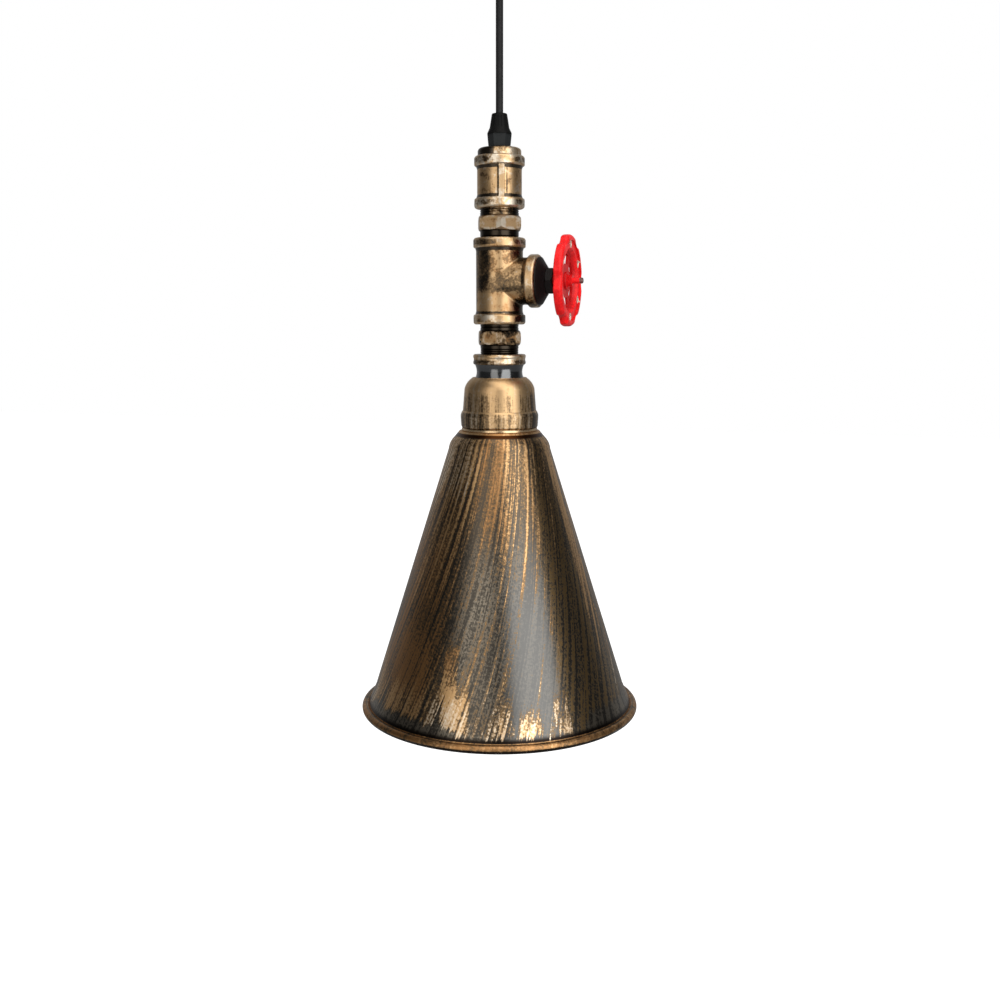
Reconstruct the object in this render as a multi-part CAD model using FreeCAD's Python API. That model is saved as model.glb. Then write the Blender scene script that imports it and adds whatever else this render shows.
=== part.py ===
import FreeCAD, Part
import math
import os

# Pendant lamp: pipe fittings and a conical shade on a straight cord.
# The ceiling plane is z = 0, everything hangs below it on the Z axis,
# and the tee's branch with the handwheel points along +X. Sizes are in mm.

# Fits between mating pieces
thread_gap = 0.1
stem_gap = 0.05
pivot_gap = 0.3
hole_gap = 0.3

# Tool reach beyond a cut, and the size below which an edge counts as flat
overcut = 1.0
overlap_limit = 0.01
bend_share = math.sqrt(0.5)
wire_bend_share = 0.45

# Cord, and how far it may lean in its two grips
cord_radius = 2.5
cord_free = 81.8
cord_lean = 15.0
lean_margin = 3.0
pivot_depth = 4.0
core_wire_radius = 1.0

# Ceiling canopy, bracket and their fasteners
canopy_radius = 50.0
canopy_depth = 26.0
canopy_sheet = 1.2
canopy_corner = 9.0
bracket_width = 20.0
bracket_sheet = 2.0
bracket_ear = 14.0
bracket_bend = 1.8
bracket_hole_radius = 2.25
bracket_hole_spacing = 60.0
side_screw_drop = 7.0
side_screw_radius = 1.6
side_screw_head_radius = 3.2
side_screw_head_height = 2.0
side_screw_length = 7.0
side_screw_head_round = 1.0
side_screw_slot_width = 0.9
side_screw_slot_depth = 0.8

# Terminal block under the bracket
block_start = 9.0
block_length = 14.0
block_width = 18.0
block_height = 11.0
pole_spacing = 9.0
pole_entry_radius = 1.4
pole_screw_radius = 1.7
pole_screw_length = 3.2
pole_screw_recess = 0.6
pole_screw_slot_width = 0.7
pole_screw_slot_depth = 0.6
pole_screw_inset = 3.8
pole_height = 6.0
block_corner = 1.5
block_screw_radius = 1.4
block_screw_head_radius = 2.7
block_screw_head_height = 2.2
block_screw_recess = 3.2
wire_entry = 4.0
wire_straight = 2.5
ceiling_sheath_length = 7.0

# Cord grip, the same at the ceiling and on the lamp
grip_mouth_radius = 5.3
grip_cone_radius = 6.7
grip_cone_height = 9.4
grip_shoulder_radius = 8.3
grip_nut_height = 13.6
grip_nut_lip = 0.8
grip_shoulder_height = 0.8
grip_body_height = 9.1
grip_base_radius = 7.4
grip_claw_depth = 8.4
grip_spigot_radius = 5.2
grip_rib_count = 18
grip_turn = 17.0
grip_rib_radius = 0.35
stub_radius = 5.0
stub_length = 11.0
locknut_flats = 14.0
locknut_height = 3.0
nut_chamfer = 0.9
locknut_turn = 30.0

# Pipe plug at the top of the fittings
plug_head_radius = 14.9
plug_head_height = 5.2
plug_bevel = 2.4
plug_thread_length = 8.5
plug_plate = 6.0
plug_hollow_radius = 9.5

# Threads and bores that the fittings share
pipe_thread_radius = 12.6
pipe_bore_radius = 10.4
thread_depth = 13.0

# Banded socket
socket_length = 35.0
socket_radius = 15.3
socket_band_radius = 17.3
socket_rib_reach = 16.2
socket_rib_width = 4.9
socket_rib_round = 0.6
socket_rib_count = 2
socket_rib_angle = 111.0

# Raised bands on the ends of the socket and the tee
band_height = 6.9
band_end_round = 2.0
band_round = 1.3
band_foot = 2.2

# Hexagon nipples
nipple_flats = 28.4
nipple_hex_height = 10.7
nipple_chamfer_radius = 13.4
nipple_chamfer_height = 2.8
nipple_neck_radius = 13.3
nipple_insert = 11.0
nipple_thread_pitch = 1.4
nipple_thread_depth = 0.45
nipple_turn = 51.7
neck_under_socket = 4.6
neck_over_tee = 4.2
neck_under_tee = 3.9
neck_over_collar = 5.9

# Tee
tee_half_run = 29.45
tee_reach = 29.1
tee_radius = 16.2
tee_branch_radius = 16.0
tee_band_radius = 18.1
tee_blend = 1.5

# Collar and black neck above the lampholder
collar_radius = 18.4
collar_height = 7.2
collar_round = 1.3
collar_groove = 0.4
collar_groove_height = 3.2
neck_height = 8.9
neck_top_radius = 17.2
neck_waist_radius = 16.0
neck_foot_radius = 16.8
neck_plate = 4.0
neck_waist_drop = 4.9

# Threaded tube from the neck into the lampholder
tube_bore_radius = 3.6
tube_spare = 1.2

# Lampholder cap
cap_height = 23.1
cap_top_radius = 19.4
cap_top_drop = 0.5
cap_dome_radius = 23.0
cap_dome_drop = 4.2
cap_shoulder_radius = 24.6
cap_shoulder_drop = 7.9
cap_foot_radius = 25.8
cap_sheet = 1.1

# Lampholder skirt, with the tube that goes through the shade
skirt_height = 12.0
skirt_top_radius = 25.9
skirt_radius = 27.4
skirt_slope_height = 3.6
skirt_foot_radius = 27.0
skirt_round = 1.6
skirt_tube_radius = 20.0
skirt_tube_wall = 1.6
skirt_tube_length = 15.4
skirt_slope_radius = 27.0
skirt_slope_middle = 2.0
skirt_recess = 1.0
skirt_recess_radius = 24.2
skirt_spigot_radius = 24.1
skirt_spigot_wall = 1.5
skirt_spigot_height = 4.0

# Insulating core with its contacts
core_height = 39.0
core_cavity_radius = 14.3
core_cavity_depth = 23.5
core_drop = 5.5
core_round = 0.8
core_flange_radius = 22.2
core_flange_height = 3.0
core_screw_offset = 9.0
core_screw_head_radius = 2.6
core_screw_head_height = 2.0
core_screw_radius = 1.5
core_screw_slot_width = 0.8
core_screw_slot_depth = 0.9
sleeve_wall = 0.6
sleeve_recess = 1.5
sleeve_tab_width = 5.0
sleeve_tab_reach = 6.8
contact_width = 7.0
contact_start = -4.0
contact_end = 11.4
contact_sheet = 0.5
contact_dome_radius = 2.5
contact_dome_height = 1.0

# Shade, the washer above it and the ring that clamps it from below
washer_radius = 26.7
washer_height = 2.2
washer_round = 0.6
clamp_radius = 24.0
clamp_height = 6.0
clamp_chamfer = 1.0
clamp_notches = 12
clamp_notch_radius = 1.2
clamp_notch_depth = 0.8
clamp_notch_top = 1.5
shade_height = 202.3
shade_sheet = 0.8
shade_top_radius = 28.3
shade_top_slope = 50.0
shade_top_slope_drop = 4.5
shade_bend_radius = 34.5
shade_bend_drop = 7.7
shade_bend_slope = 62.0
shade_wall_start = 12.8
shade_wall_slope = 72.6
shade_wall_radius = 90.1
shade_wall_foot = 17.0
shade_flare_slope = 66.4
shade_flare_foot = 4.2
bead_radius = 3.0
bead_offset = 1.3

# Lamp bulb
bulb_contact_radius = 4.6
bulb_contact_height = 1.5
bulb_contact_chamfer = 0.4
bulb_insulator_height = 2.6
bulb_insulator_radius = 10.4
bulb_cap_gap = 0.2
bulb_cap_length = 22.5
bulb_cap_sheet = 0.6
bulb_cap_shoulder = 2.0
bulb_cap_overlap = 6.0
bulb_neck_radius = 12.6
bulb_neck_length = 8.0
bulb_globe_radius = 30.0
bulb_globe_drop = 50.0
bulb_bend_angle = 28.0
bulb_bend_sag = 1.6
bulb_glass_wall = 0.8
filament_length = 34.0
filament_radius = 0.9
filament_count = 4
filament_circle = 5.6
filament_disc_radius = 7.0
filament_disc_sheet = 0.8
filament_post_radius = 0.6
stem_flare_edge = 0.8
stem_flare_bend = 1.6
stem_flare_height = 5.0
stem_post_radius = 2.2
stem_post_length = 24.0

# Valve bonnet, packing nut and spindle on the tee's branch
bonnet_insert = 11.0
bonnet_radius = 16.2
bonnet_lip = 0.9
bonnet_cone_length = 4.6
bonnet_nose_radius = 9.2
bonnet_hollow_radius = 9.0
bonnet_hollow_depth = 6.5
packing_flats = 17.0
packing_height = 5.0
spindle_radius = 3.0
spindle_tail = 4.0
clip_radius = 5.4
clip_sheet = 1.0
clip_groove = 0.6
clip_mouth = 3.0

# Handwheel and its nut
hub_clearance = 0.4
hub_length = 8.8
hub_radius = 6.0
hub_root_radius = 8.2
hub_back_radius = 7.2
hub_round = 0.8
wheel_radius = 30.8
wheel_lobe_count = 6
wheel_notch_radius = 9.0
wheel_notch_depth = 2.4
wheel_notch_round = 3.0
wheel_rim_start = 5.9
wheel_rim_height = 5.9
wheel_pocket_radius = 27.0
wheel_web = 1.8
wheel_web_inset = 1.2
wheel_dish_radius = 21.6
wheel_floor_radius = 19.4
wheel_dish_depth = 3.2
wheel_window_inner = 11.4
wheel_window_outer = 18.2
wheel_window_half = 21.0
wheel_window_round = 1.5
wheel_front_round = 2.4
wheel_back_round = 1.0
lobe_hole_circle = 24.4
lobe_hole_radius = 2.2
lobe_hole_chamfer = 0.3
face_washer_radius = 4.4
face_washer_sheet = 0.8
screw_radius = 2.0
wheel_nut_flats = 7.0
wheel_nut_height = 2.6
wheel_nut_chamfer = 0.5
spindle_tip = 10.6
spindle_tip_chamfer = 0.5

# Heights, from the ceiling down
grip_length = grip_nut_height + grip_body_height
ceiling_mouth = -canopy_depth - grip_length
lamp_mouth = ceiling_mouth - cord_free
plug_top = lamp_mouth - grip_length
socket_top = plug_top - plug_head_height
socket_bottom = socket_top - socket_length
upper_hex_top = socket_bottom - neck_under_socket
tee_top = upper_hex_top - nipple_hex_height - neck_over_tee
branch_height = tee_top - tee_half_run
tee_bottom = branch_height - tee_half_run
lower_hex_top = tee_bottom - neck_under_tee
collar_top = lower_hex_top - nipple_hex_height - neck_over_collar
neck_top = collar_top - collar_height
cap_top = neck_top - neck_height
skirt_top = cap_top - cap_height
washer_top = skirt_top - skirt_height
shade_top = washer_top - washer_height
shade_bottom = shade_top - shade_height

# Places that several pieces share
pipe_socket_radius = pipe_thread_radius + thread_gap
stub_hole_radius = stub_radius + thread_gap
tube_hole_radius = skirt_tube_radius + thread_gap
pivot_bore_radius = cord_radius + pivot_gap
flare_radius = pivot_bore_radius + pivot_depth * math.tan(math.radians(cord_lean + lean_margin))
lead_gap = pivot_depth + cord_radius + pivot_gap
wire_split = core_wire_radius + thread_gap
ear_face = math.sqrt((canopy_radius - canopy_sheet) ** 2 - (bracket_width / 2) ** 2) - hole_gap
block_floor = -bracket_sheet - block_height
block_middle = block_start + block_length / 2
pole_level = -bracket_sheet - pole_height
sheath_top = -canopy_depth + canopy_sheet + ceiling_sheath_length
bonnet_face = tee_reach
packing_face = bonnet_face + bonnet_lip + bonnet_cone_length
clip_face = bonnet_face - bonnet_insert + bonnet_hollow_depth - hub_clearance - clip_sheet
hub_face = packing_face + packing_height + hub_clearance
hub_end = hub_face + hub_length
wheel_nut_face = hub_end + face_washer_sheet
tube_bottom = cap_top - cap_sheet - locknut_height - tube_spare
tube_top = cap_top + neck_plate + locknut_height + tube_spare
lamp_sheath_end = tube_bottom - tube_spare
shade_slope_run = shade_top_slope_drop / math.tan(math.radians(shade_top_slope))
shade_wall_run = (shade_height - shade_wall_start - shade_wall_foot) / math.tan(math.radians(shade_wall_slope))
shade_flare_run = (shade_wall_foot - shade_flare_foot) / math.tan(math.radians(shade_flare_slope))
bead_ring_radius = shade_wall_radius + shade_flare_run + bead_offset
core_radius = skirt_tube_radius - skirt_tube_wall - thread_gap
core_bottom = washer_top - skirt_tube_length - core_drop
core_top = core_bottom + core_height
cavity_top = core_bottom + core_cavity_depth
sleeve_bottom = core_bottom + sleeve_recess
sleeve_radius = core_cavity_radius - thread_gap
bulb_top = cavity_top - contact_sheet - contact_dome_height - thread_gap
bulb_cap_top = bulb_top - bulb_contact_height - bulb_insulator_height
bulb_cap_bottom = bulb_cap_top - bulb_cap_length
bulb_cap_radius = sleeve_radius - sleeve_wall - bulb_cap_gap
filament_top = bulb_cap_bottom - stem_flare_height - stem_post_length

origin = FreeCAD.Vector(0, 0, 0)
x_axis = FreeCAD.Vector(1, 0, 0)
y_axis = FreeCAD.Vector(0, 1, 0)
z_axis = FreeCAD.Vector(0, 0, 1)


def outline(steps):
    """Closed wire in the XZ plane: (r, z) is a line's end, ((r, z), (r, z)) an arc's middle and end."""
    edges = []
    here = FreeCAD.Vector(steps[0][0], 0, steps[0][1])
    first = here
    for step in steps[1:]:
        if isinstance(step[0], tuple):
            middle = FreeCAD.Vector(step[0][0], 0, step[0][1])
            there = FreeCAD.Vector(step[1][0], 0, step[1][1])
            edges.append(Part.Arc(here, middle, there).toShape())
        else:
            there = FreeCAD.Vector(step[0], 0, step[1])
            edges.append(Part.LineSegment(here, there).toShape())
        here = there
    edges.append(Part.LineSegment(here, first).toShape())
    return Part.Wire(edges)


def turned(steps):
    """Solid of revolution about the Z axis."""
    solid = Part.Face(outline(steps)).revolve(origin, z_axis, 360)
    if solid.Volume < 0:
        solid.reverse()
    return solid


def top_round(radius, z, size):
    """Steps from a flat top over a rounded edge to the wall below."""
    bulge = size * (1 - bend_share)
    return [(radius - size, z), ((radius - bulge, z - bulge), (radius, z - size))]


def foot_round(radius, z, size):
    """Steps from a wall over a rounded edge to the flat foot below."""
    bulge = size * (1 - bend_share)
    return [(radius, z + size), ((radius - bulge, z + bulge), (radius - size, z))]


def inner_round(radius, z, size):
    """Steps from a flat floor over a rounded corner up the wall."""
    bulge = size * (1 - bend_share)
    return [(radius - size, z), ((radius - bulge, z + bulge), (radius, z + size))]


def cylinder(radius, start, end):
    """Solid cylinder on the Z axis between two heights."""
    return Part.makeCylinder(radius, end - start, FreeCAD.Vector(0, 0, start))


def bore(radius, start, end):
    """Cylinder for a hole that runs out beyond both heights."""
    return cylinder(radius, start - overcut, end + overcut)


def slot(width, length, depth, top):
    """Screwdriver slot in a head whose top is at a height."""
    return Part.makeBox(width, length, depth + overcut,
                        FreeCAD.Vector(-width / 2, -length / 2, top - depth))


def hexagon(flats, start, end, turn):
    """Hexagonal prism on the Z axis, a corner on +X before it is turned."""
    corner_radius = flats / math.sqrt(3)
    points = []
    for k in range(7):
        angle = math.radians(60 * k + turn)
        points.append(FreeCAD.Vector(corner_radius * math.cos(angle), corner_radius * math.sin(angle), start))
    return Part.Face(Part.makePolygon(points)).extrude(FreeCAD.Vector(0, 0, end - start))


def chamfered_hexagon(flats, start, end, small_radius, chamfer, turn):
    """Hexagonal prism whose corners are turned down towards both ends."""
    corner_radius = flats / math.sqrt(3)
    bound = turned([
        (0, end), (small_radius, end), (corner_radius, end - chamfer),
        (corner_radius, start + chamfer), (small_radius, start), (0, start),
    ])
    return hexagon(flats, start, end, turn).common(bound)


def moved(shape, x, y, z):
    """Copy of a shape, shifted."""
    copy = shape.copy()
    copy.translate(FreeCAD.Vector(x, y, z))
    return copy


def flipped(shape):
    """Copy of a shape turned upside down about the X axis."""
    copy = shape.copy()
    copy.rotate(origin, x_axis, 180)
    return copy


def on_branch(shape):
    """Turn a piece made along Z so that it lies along the tee's branch."""
    copy = shape.copy()
    copy.rotate(origin, y_axis, 90)
    copy.translate(FreeCAD.Vector(0, 0, branch_height))
    return copy


def around(shape, count, start):
    """Copies of a shape spread evenly about the Z axis."""
    copies = []
    for k in range(count):
        copy = shape.copy()
        copy.rotate(origin, z_axis, start + 360.0 * k / count)
        copies.append(copy)
    return copies


def wire_along(points, radius):
    """Round wire along straight runs that tangent arcs join."""
    points = [FreeCAD.Vector(*p) for p in points]
    edges = []
    here = points[0]
    for before, bend, after in zip(points, points[1:], points[2:]):
        back = before - bend
        ahead = after - bend
        trim = wire_bend_share * min(back.Length, ahead.Length)
        half_turn = (math.pi - back.getAngle(ahead)) / 2
        start = bend + back.normalize() * trim
        end = bend + ahead.normalize() * trim
        bisector = (back + ahead).normalize()
        arc_radius = trim / math.tan(half_turn)
        middle = bend + bisector * (arc_radius / math.cos(half_turn) - arc_radius)
        edges.append(Part.LineSegment(here, start).toShape())
        edges.append(Part.Arc(start, middle, end).toShape())
        here = end
    edges.append(Part.LineSegment(here, points[-1]).toShape())
    section = Part.Wire(Part.makeCircle(radius, points[0], points[1] - points[0]))
    return Part.Wire(edges).makePipeShell([section], True, False)


# Ceiling fitting

def make_canopy():
    """Spun cup with a flat floor, a hole for the cord grip and two side holes."""
    wall = canopy_radius - canopy_sheet
    floor = -canopy_depth
    cup = turned([
        (canopy_radius, 0),
        *foot_round(canopy_radius, floor, canopy_corner),
        (stub_hole_radius, floor),
        (stub_hole_radius, floor + canopy_sheet),
        *inner_round(wall, floor + canopy_sheet, canopy_corner - canopy_sheet),
        (wall, 0),
    ])
    reach = canopy_radius + overcut
    side_hole = Part.makeCylinder(side_screw_radius + hole_gap, 2 * reach,
                                  FreeCAD.Vector(-reach, 0, -side_screw_drop), x_axis)
    return cup.cut(side_hole)


def make_bracket():
    """Strip against the ceiling whose two ears take the canopy's side screws."""
    strip = Part.makeBox(2 * ear_face, bracket_width, bracket_sheet,
                         FreeCAD.Vector(-ear_face, -bracket_width / 2, -bracket_sheet))
    ears = []
    for x in (-ear_face, ear_face - bracket_sheet):
        ears.append(Part.makeBox(bracket_sheet, bracket_width, bracket_ear,
                                 FreeCAD.Vector(x, -bracket_width / 2, -bracket_ear)))
    bent = strip.fuse(ears).removeSplitter()
    corners = [e for e in bent.Edges if e.BoundBox.ZLength < overlap_limit and e.BoundBox.XLength < overlap_limit
               and e.BoundBox.ZMax > -overlap_limit]
    bent = bent.makeFillet(bracket_bend, corners)
    reach = ear_face + overcut
    tools = [Part.makeCylinder(side_screw_radius, 2 * reach,
                               FreeCAD.Vector(-reach, 0, -side_screw_drop), x_axis)]
    for x in (-bracket_hole_spacing / 2, bracket_hole_spacing / 2):
        tools.append(moved(bore(bracket_hole_radius, -bracket_sheet, 0), x, 0, 0))
    tools.append(moved(bore(block_screw_radius + stem_gap, -bracket_sheet, 0), block_middle, 0, 0))
    return bent.cut(tools)


def make_side_screw(side):
    """Slotted pan-head screw through the canopy's wall into a bracket ear."""
    shank = side_screw_radius - stem_gap
    screw = turned([
        (0, side_screw_head_height),
        *top_round(side_screw_head_radius, side_screw_head_height, side_screw_head_round),
        (side_screw_head_radius, 0), (shank, 0),
        (shank, -side_screw_length), (0, -side_screw_length),
    ])
    screw = screw.cut(slot(side_screw_slot_width, 2 * side_screw_head_radius,
                           side_screw_slot_depth, side_screw_head_height))
    screw.rotate(origin, y_axis, 90 * side)
    screw.translate(FreeCAD.Vector(side * canopy_radius, 0, -side_screw_drop))
    return screw


def terminal_screw_places():
    """X and Y of the four wire screws of the terminal block."""
    columns = (block_start + pole_screw_inset, block_start + block_length - pole_screw_inset)
    return [(x, y) for x in columns for y in (-pole_spacing / 2, pole_spacing / 2)]


def make_terminal_block():
    """Two-pole block under the bracket, wires in at both ends and screws from below."""
    body = Part.makeBox(block_length, block_width, block_height,
                        FreeCAD.Vector(block_start, -block_width / 2, block_floor))
    upright = [e for e in body.Edges if e.BoundBox.ZLength > block_height / 2]
    body = body.makeFillet(block_corner, upright)
    tools = []
    for y in (-pole_spacing / 2, pole_spacing / 2):
        tools.append(Part.makeCylinder(pole_entry_radius, block_length + 2 * overcut,
                                       FreeCAD.Vector(block_start - overcut, y, pole_level), x_axis))
    for x, y in terminal_screw_places():
        tools.append(moved(cylinder(pole_screw_radius + thread_gap, block_floor - overcut, pole_level), x, y, 0))
    tools.append(moved(bore(block_screw_radius + hole_gap, block_floor, -bracket_sheet), block_middle, 0, 0))
    tools.append(moved(cylinder(block_screw_head_radius + hole_gap, block_floor - overcut,
                                block_floor + block_screw_recess), block_middle, 0, 0))
    return body.cut(tools)


def make_terminal_screws():
    """Brass screws that pinch the wires in the block."""
    foot = block_floor + pole_screw_recess
    screw = flipped(cylinder(pole_screw_radius, -foot - pole_screw_length, -foot).cut(
        slot(pole_screw_slot_width, 2 * pole_screw_radius, pole_screw_slot_depth, -foot)))
    return [moved(screw, x, y, 0) for x, y in terminal_screw_places()]


def make_block_screw():
    """Screw that holds the terminal block to the bracket."""
    seat = block_floor + block_screw_recess
    screw = flipped(turned([
        (0, block_screw_head_height - seat), (block_screw_head_radius, block_screw_head_height - seat),
        (block_screw_head_radius, -seat), (block_screw_radius, -seat), (block_screw_radius, 0), (0, 0),
    ]).cut(slot(pole_screw_slot_width, 2 * block_screw_head_radius, pole_screw_slot_depth,
                block_screw_head_height - seat)))
    return moved(screw, block_middle, 0, 0)


# Cord grips and cord

def grip_nut():
    """Tapered nut with a flared mouth, made with the mouth up at z = 0."""
    shoulder_top = grip_shoulder_height - grip_nut_height
    nut = turned([
        (flare_radius, 0),
        *top_round(grip_mouth_radius, 0, grip_nut_lip),
        (grip_cone_radius, -grip_cone_height),
        (grip_shoulder_radius, shoulder_top),
        (grip_shoulder_radius, -grip_nut_height),
        (grip_spigot_radius + thread_gap, -grip_nut_height),
        (grip_spigot_radius + thread_gap, -grip_claw_depth),
        (pivot_bore_radius, -grip_claw_depth),
        (pivot_bore_radius, -pivot_depth),
    ])
    lean = math.degrees(math.atan2(grip_cone_radius - grip_mouth_radius, grip_cone_height - grip_nut_lip))
    groove = Part.makeCylinder(grip_rib_radius, grip_cone_height - 2 * grip_nut_lip)
    groove.rotate(origin, y_axis, -lean)
    groove.translate(FreeCAD.Vector(grip_cone_radius, 0, -grip_cone_height))
    return nut.cut(around(groove, grip_rib_count, 0))


def grip_body():
    """Six-sided body with a spigot into the nut and a threaded stub below."""
    rings = []
    for radius, height in ((grip_shoulder_radius, -grip_nut_height), (grip_base_radius, -grip_length)):
        points = []
        for k in range(7):
            angle = math.radians(60 * k + grip_turn)
            points.append(FreeCAD.Vector(radius * math.cos(angle), radius * math.sin(angle), height))
        rings.append(Part.makePolygon(points))
    body = Part.makeLoft(rings, True, True)
    spigot = cylinder(grip_spigot_radius, -grip_nut_height, -grip_claw_depth - thread_gap)
    stub = cylinder(stub_radius, -grip_length - stub_length, -grip_length)
    hole = bore(cord_radius + thread_gap, -grip_length - stub_length, -grip_claw_depth)
    return body.fuse([spigot, stub]).removeSplitter().cut(hole)


def locknut(seat):
    """Thin hexagon nut for the stubs and the tube, with its upper face at a height."""
    nut = chamfered_hexagon(locknut_flats, seat - locknut_height, seat, locknut_flats / 2, nut_chamfer, locknut_turn)
    return nut.cut(bore(stub_hole_radius, seat - locknut_height, seat))


def at_lamp(shape):
    """Place a grip piece on top of the lamp, mouth up."""
    return moved(shape, 0, 0, lamp_mouth)


def at_ceiling(shape):
    """Place a grip piece under the canopy, mouth down."""
    return moved(flipped(shape), 0, 0, ceiling_mouth)


def make_cord():
    """Straight cord between the two grips, with round ends that turn about the pivots."""
    top = ceiling_mouth + pivot_depth
    bottom = lamp_mouth - pivot_depth
    bend = cord_radius * bend_share
    return turned([
        (0, top + cord_radius),
        ((bend, top + bend), (cord_radius, top)),
        (cord_radius, bottom),
        ((bend, bottom - bend), (0, bottom - cord_radius)),
    ])


def make_ceiling_lead():
    """The cord's fixed end, from the ceiling grip into the canopy."""
    return cylinder(cord_radius, ceiling_mouth + lead_gap, sheath_top)


def make_ceiling_wires():
    """Two insulated cores from the sheath to the terminal block."""
    wires = []
    for side in (-1, 1):
        y = side * pole_spacing / 2
        wires.append(wire_along([
            (0, side * wire_split, sheath_top),
            (0, side * wire_split, pole_level),
            (block_start - wire_straight, y, pole_level),
            (block_start + wire_entry, y, pole_level),
        ], core_wire_radius))
    return wires


def make_lamp_lead():
    """The cord's sheath from the lamp's grip through the fittings to the lampholder."""
    return cylinder(cord_radius, lamp_sheath_end, lamp_mouth - lead_gap)


def make_lamp_wires():
    """Two insulated cores from the sheath to the lampholder's screws."""
    wires = []
    end_x = core_screw_offset - core_screw_head_radius - thread_gap
    end_z = core_top + core_wire_radius + thread_gap
    for side in (-1, 1):
        wires.append(wire_along([
            (side * wire_split, 0, lamp_sheath_end),
            (side * wire_split, 0, lamp_sheath_end - wire_straight),
            (side * (wire_split + end_x) / 2, 0, end_z),
            (side * end_x, 0, end_z),
        ], core_wire_radius))
    return wires


# Pipe fittings

def band(body_radius, band_radius):
    """Raised band of a cast fitting, made with its flat end up at z = 0."""
    return turned([
        (pipe_socket_radius, 0),
        *top_round(band_radius, 0, band_end_round),
        *foot_round(band_radius, -band_height, band_round),
        (body_radius, -band_height - band_foot),
        (pipe_socket_radius, -band_height - band_foot),
    ])


def make_plug():
    """Round-headed plug that closes the socket and carries the cord grip."""
    bottom = socket_top - plug_thread_length
    return turned([
        (stub_hole_radius, plug_top),
        *top_round(plug_head_radius, plug_top, plug_bevel),
        (plug_head_radius, socket_top),
        (pipe_thread_radius, socket_top),
        (pipe_thread_radius, bottom),
        (plug_hollow_radius, bottom),
        (plug_hollow_radius, plug_top - plug_plate),
        (stub_hole_radius, plug_top - plug_plate),
    ])


def make_socket():
    """Cast socket with a raised band at each end and upright ribs between them."""
    body = cylinder(socket_radius, socket_bottom, socket_top)
    ring = band(socket_radius, socket_band_radius)
    rib = Part.makeBox(socket_rib_reach, socket_rib_width, socket_length - 2 * band_height,
                       FreeCAD.Vector(0, -socket_rib_width / 2, socket_bottom + band_height))
    corners = [e for e in rib.Edges if e.BoundBox.XMin > socket_rib_reach - overlap_limit
               and e.BoundBox.YLength < overlap_limit]
    rib = rib.makeFillet(socket_rib_round, corners)
    pieces = [moved(ring, 0, 0, socket_top), moved(flipped(ring), 0, 0, socket_bottom)]
    pieces += around(rib, socket_rib_count, socket_rib_angle)
    tools = [bore(pipe_bore_radius, socket_bottom, socket_top),
             cylinder(pipe_socket_radius, socket_top - thread_depth, socket_top + overcut),
             cylinder(pipe_socket_radius, socket_bottom - overcut, socket_bottom + thread_depth)]
    return body.fuse(pieces).removeSplitter().cut(tools)


def make_nipple(hex_top, neck_above, neck_below):
    """Nipple with a chamfered hexagon, threads cut as rings where its necks show."""
    hex_bottom = hex_top - nipple_hex_height
    top = hex_top + neck_above + nipple_insert
    bottom = hex_bottom - neck_below - nipple_insert
    body = chamfered_hexagon(nipple_flats, hex_bottom, hex_top,
                             nipple_chamfer_radius, nipple_chamfer_height, nipple_turn)
    neck = cylinder(nipple_neck_radius, hex_bottom - neck_below, hex_top + neck_above)
    tools = [bore(pipe_bore_radius, bottom, top)]
    tools += thread_grooves(hex_top + nipple_thread_pitch, hex_top + neck_above)
    tools += thread_grooves(hex_bottom - neck_below, hex_bottom - nipple_thread_pitch)
    return body.fuse([neck, cylinder(pipe_thread_radius, bottom, top)]).removeSplitter().cut(tools)


def thread_grooves(start, end):
    """Rings that cut a shown neck like the last turns of its thread."""
    grooves = []
    floor = nipple_neck_radius - nipple_thread_depth
    reach = nipple_neck_radius + nipple_thread_depth
    for k in range(int((end - start) / nipple_thread_pitch)):
        z = start + (k + 0.5) * nipple_thread_pitch
        grooves.append(turned([
            (reach, z + 2 * nipple_thread_depth), (reach, z - 2 * nipple_thread_depth), (floor, z),
        ]))
    return grooves


def make_tee():
    """Cast tee, run upright and branch along +X, with a band at each of its three ends."""
    cross = cylinder(tee_radius, tee_bottom, tee_top).fuse(on_branch(cylinder(tee_branch_radius, 0, tee_reach)))
    seam = [e for e in cross.Edges if e.BoundBox.XMin > tee_blend and e.BoundBox.ZLength > tee_branch_radius
            and e.BoundBox.XLength > tee_blend]
    cross = cross.makeFillet(tee_blend, seam)
    run_band = band(tee_radius, tee_band_radius)
    pieces = [moved(run_band, 0, 0, tee_top), moved(flipped(run_band), 0, 0, tee_bottom),
              on_branch(moved(band(tee_branch_radius, tee_band_radius), 0, 0, tee_reach))]
    tools = [bore(pipe_bore_radius, tee_bottom, tee_top),
             cylinder(pipe_socket_radius, tee_top - thread_depth, tee_top + overcut),
             cylinder(pipe_socket_radius, tee_bottom - overcut, tee_bottom + thread_depth),
             on_branch(cylinder(pipe_bore_radius, 0, tee_reach + overcut)),
             on_branch(cylinder(pipe_socket_radius, tee_reach - thread_depth, tee_reach + overcut))]
    return cross.fuse(pieces).removeSplitter().cut(tools)


def make_collar():
    """Ring on the lower nipple, hollowed round its middle."""
    middle = collar_top - collar_height / 2
    edge = collar_groove_height / 2
    return turned([
        (pipe_socket_radius, collar_top),
        *top_round(collar_radius, collar_top, collar_round),
        (collar_radius, middle + edge),
        ((collar_radius - collar_groove, middle), (collar_radius, middle - edge)),
        *foot_round(collar_radius, neck_top, collar_round),
        (pipe_socket_radius, neck_top),
    ])


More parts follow.
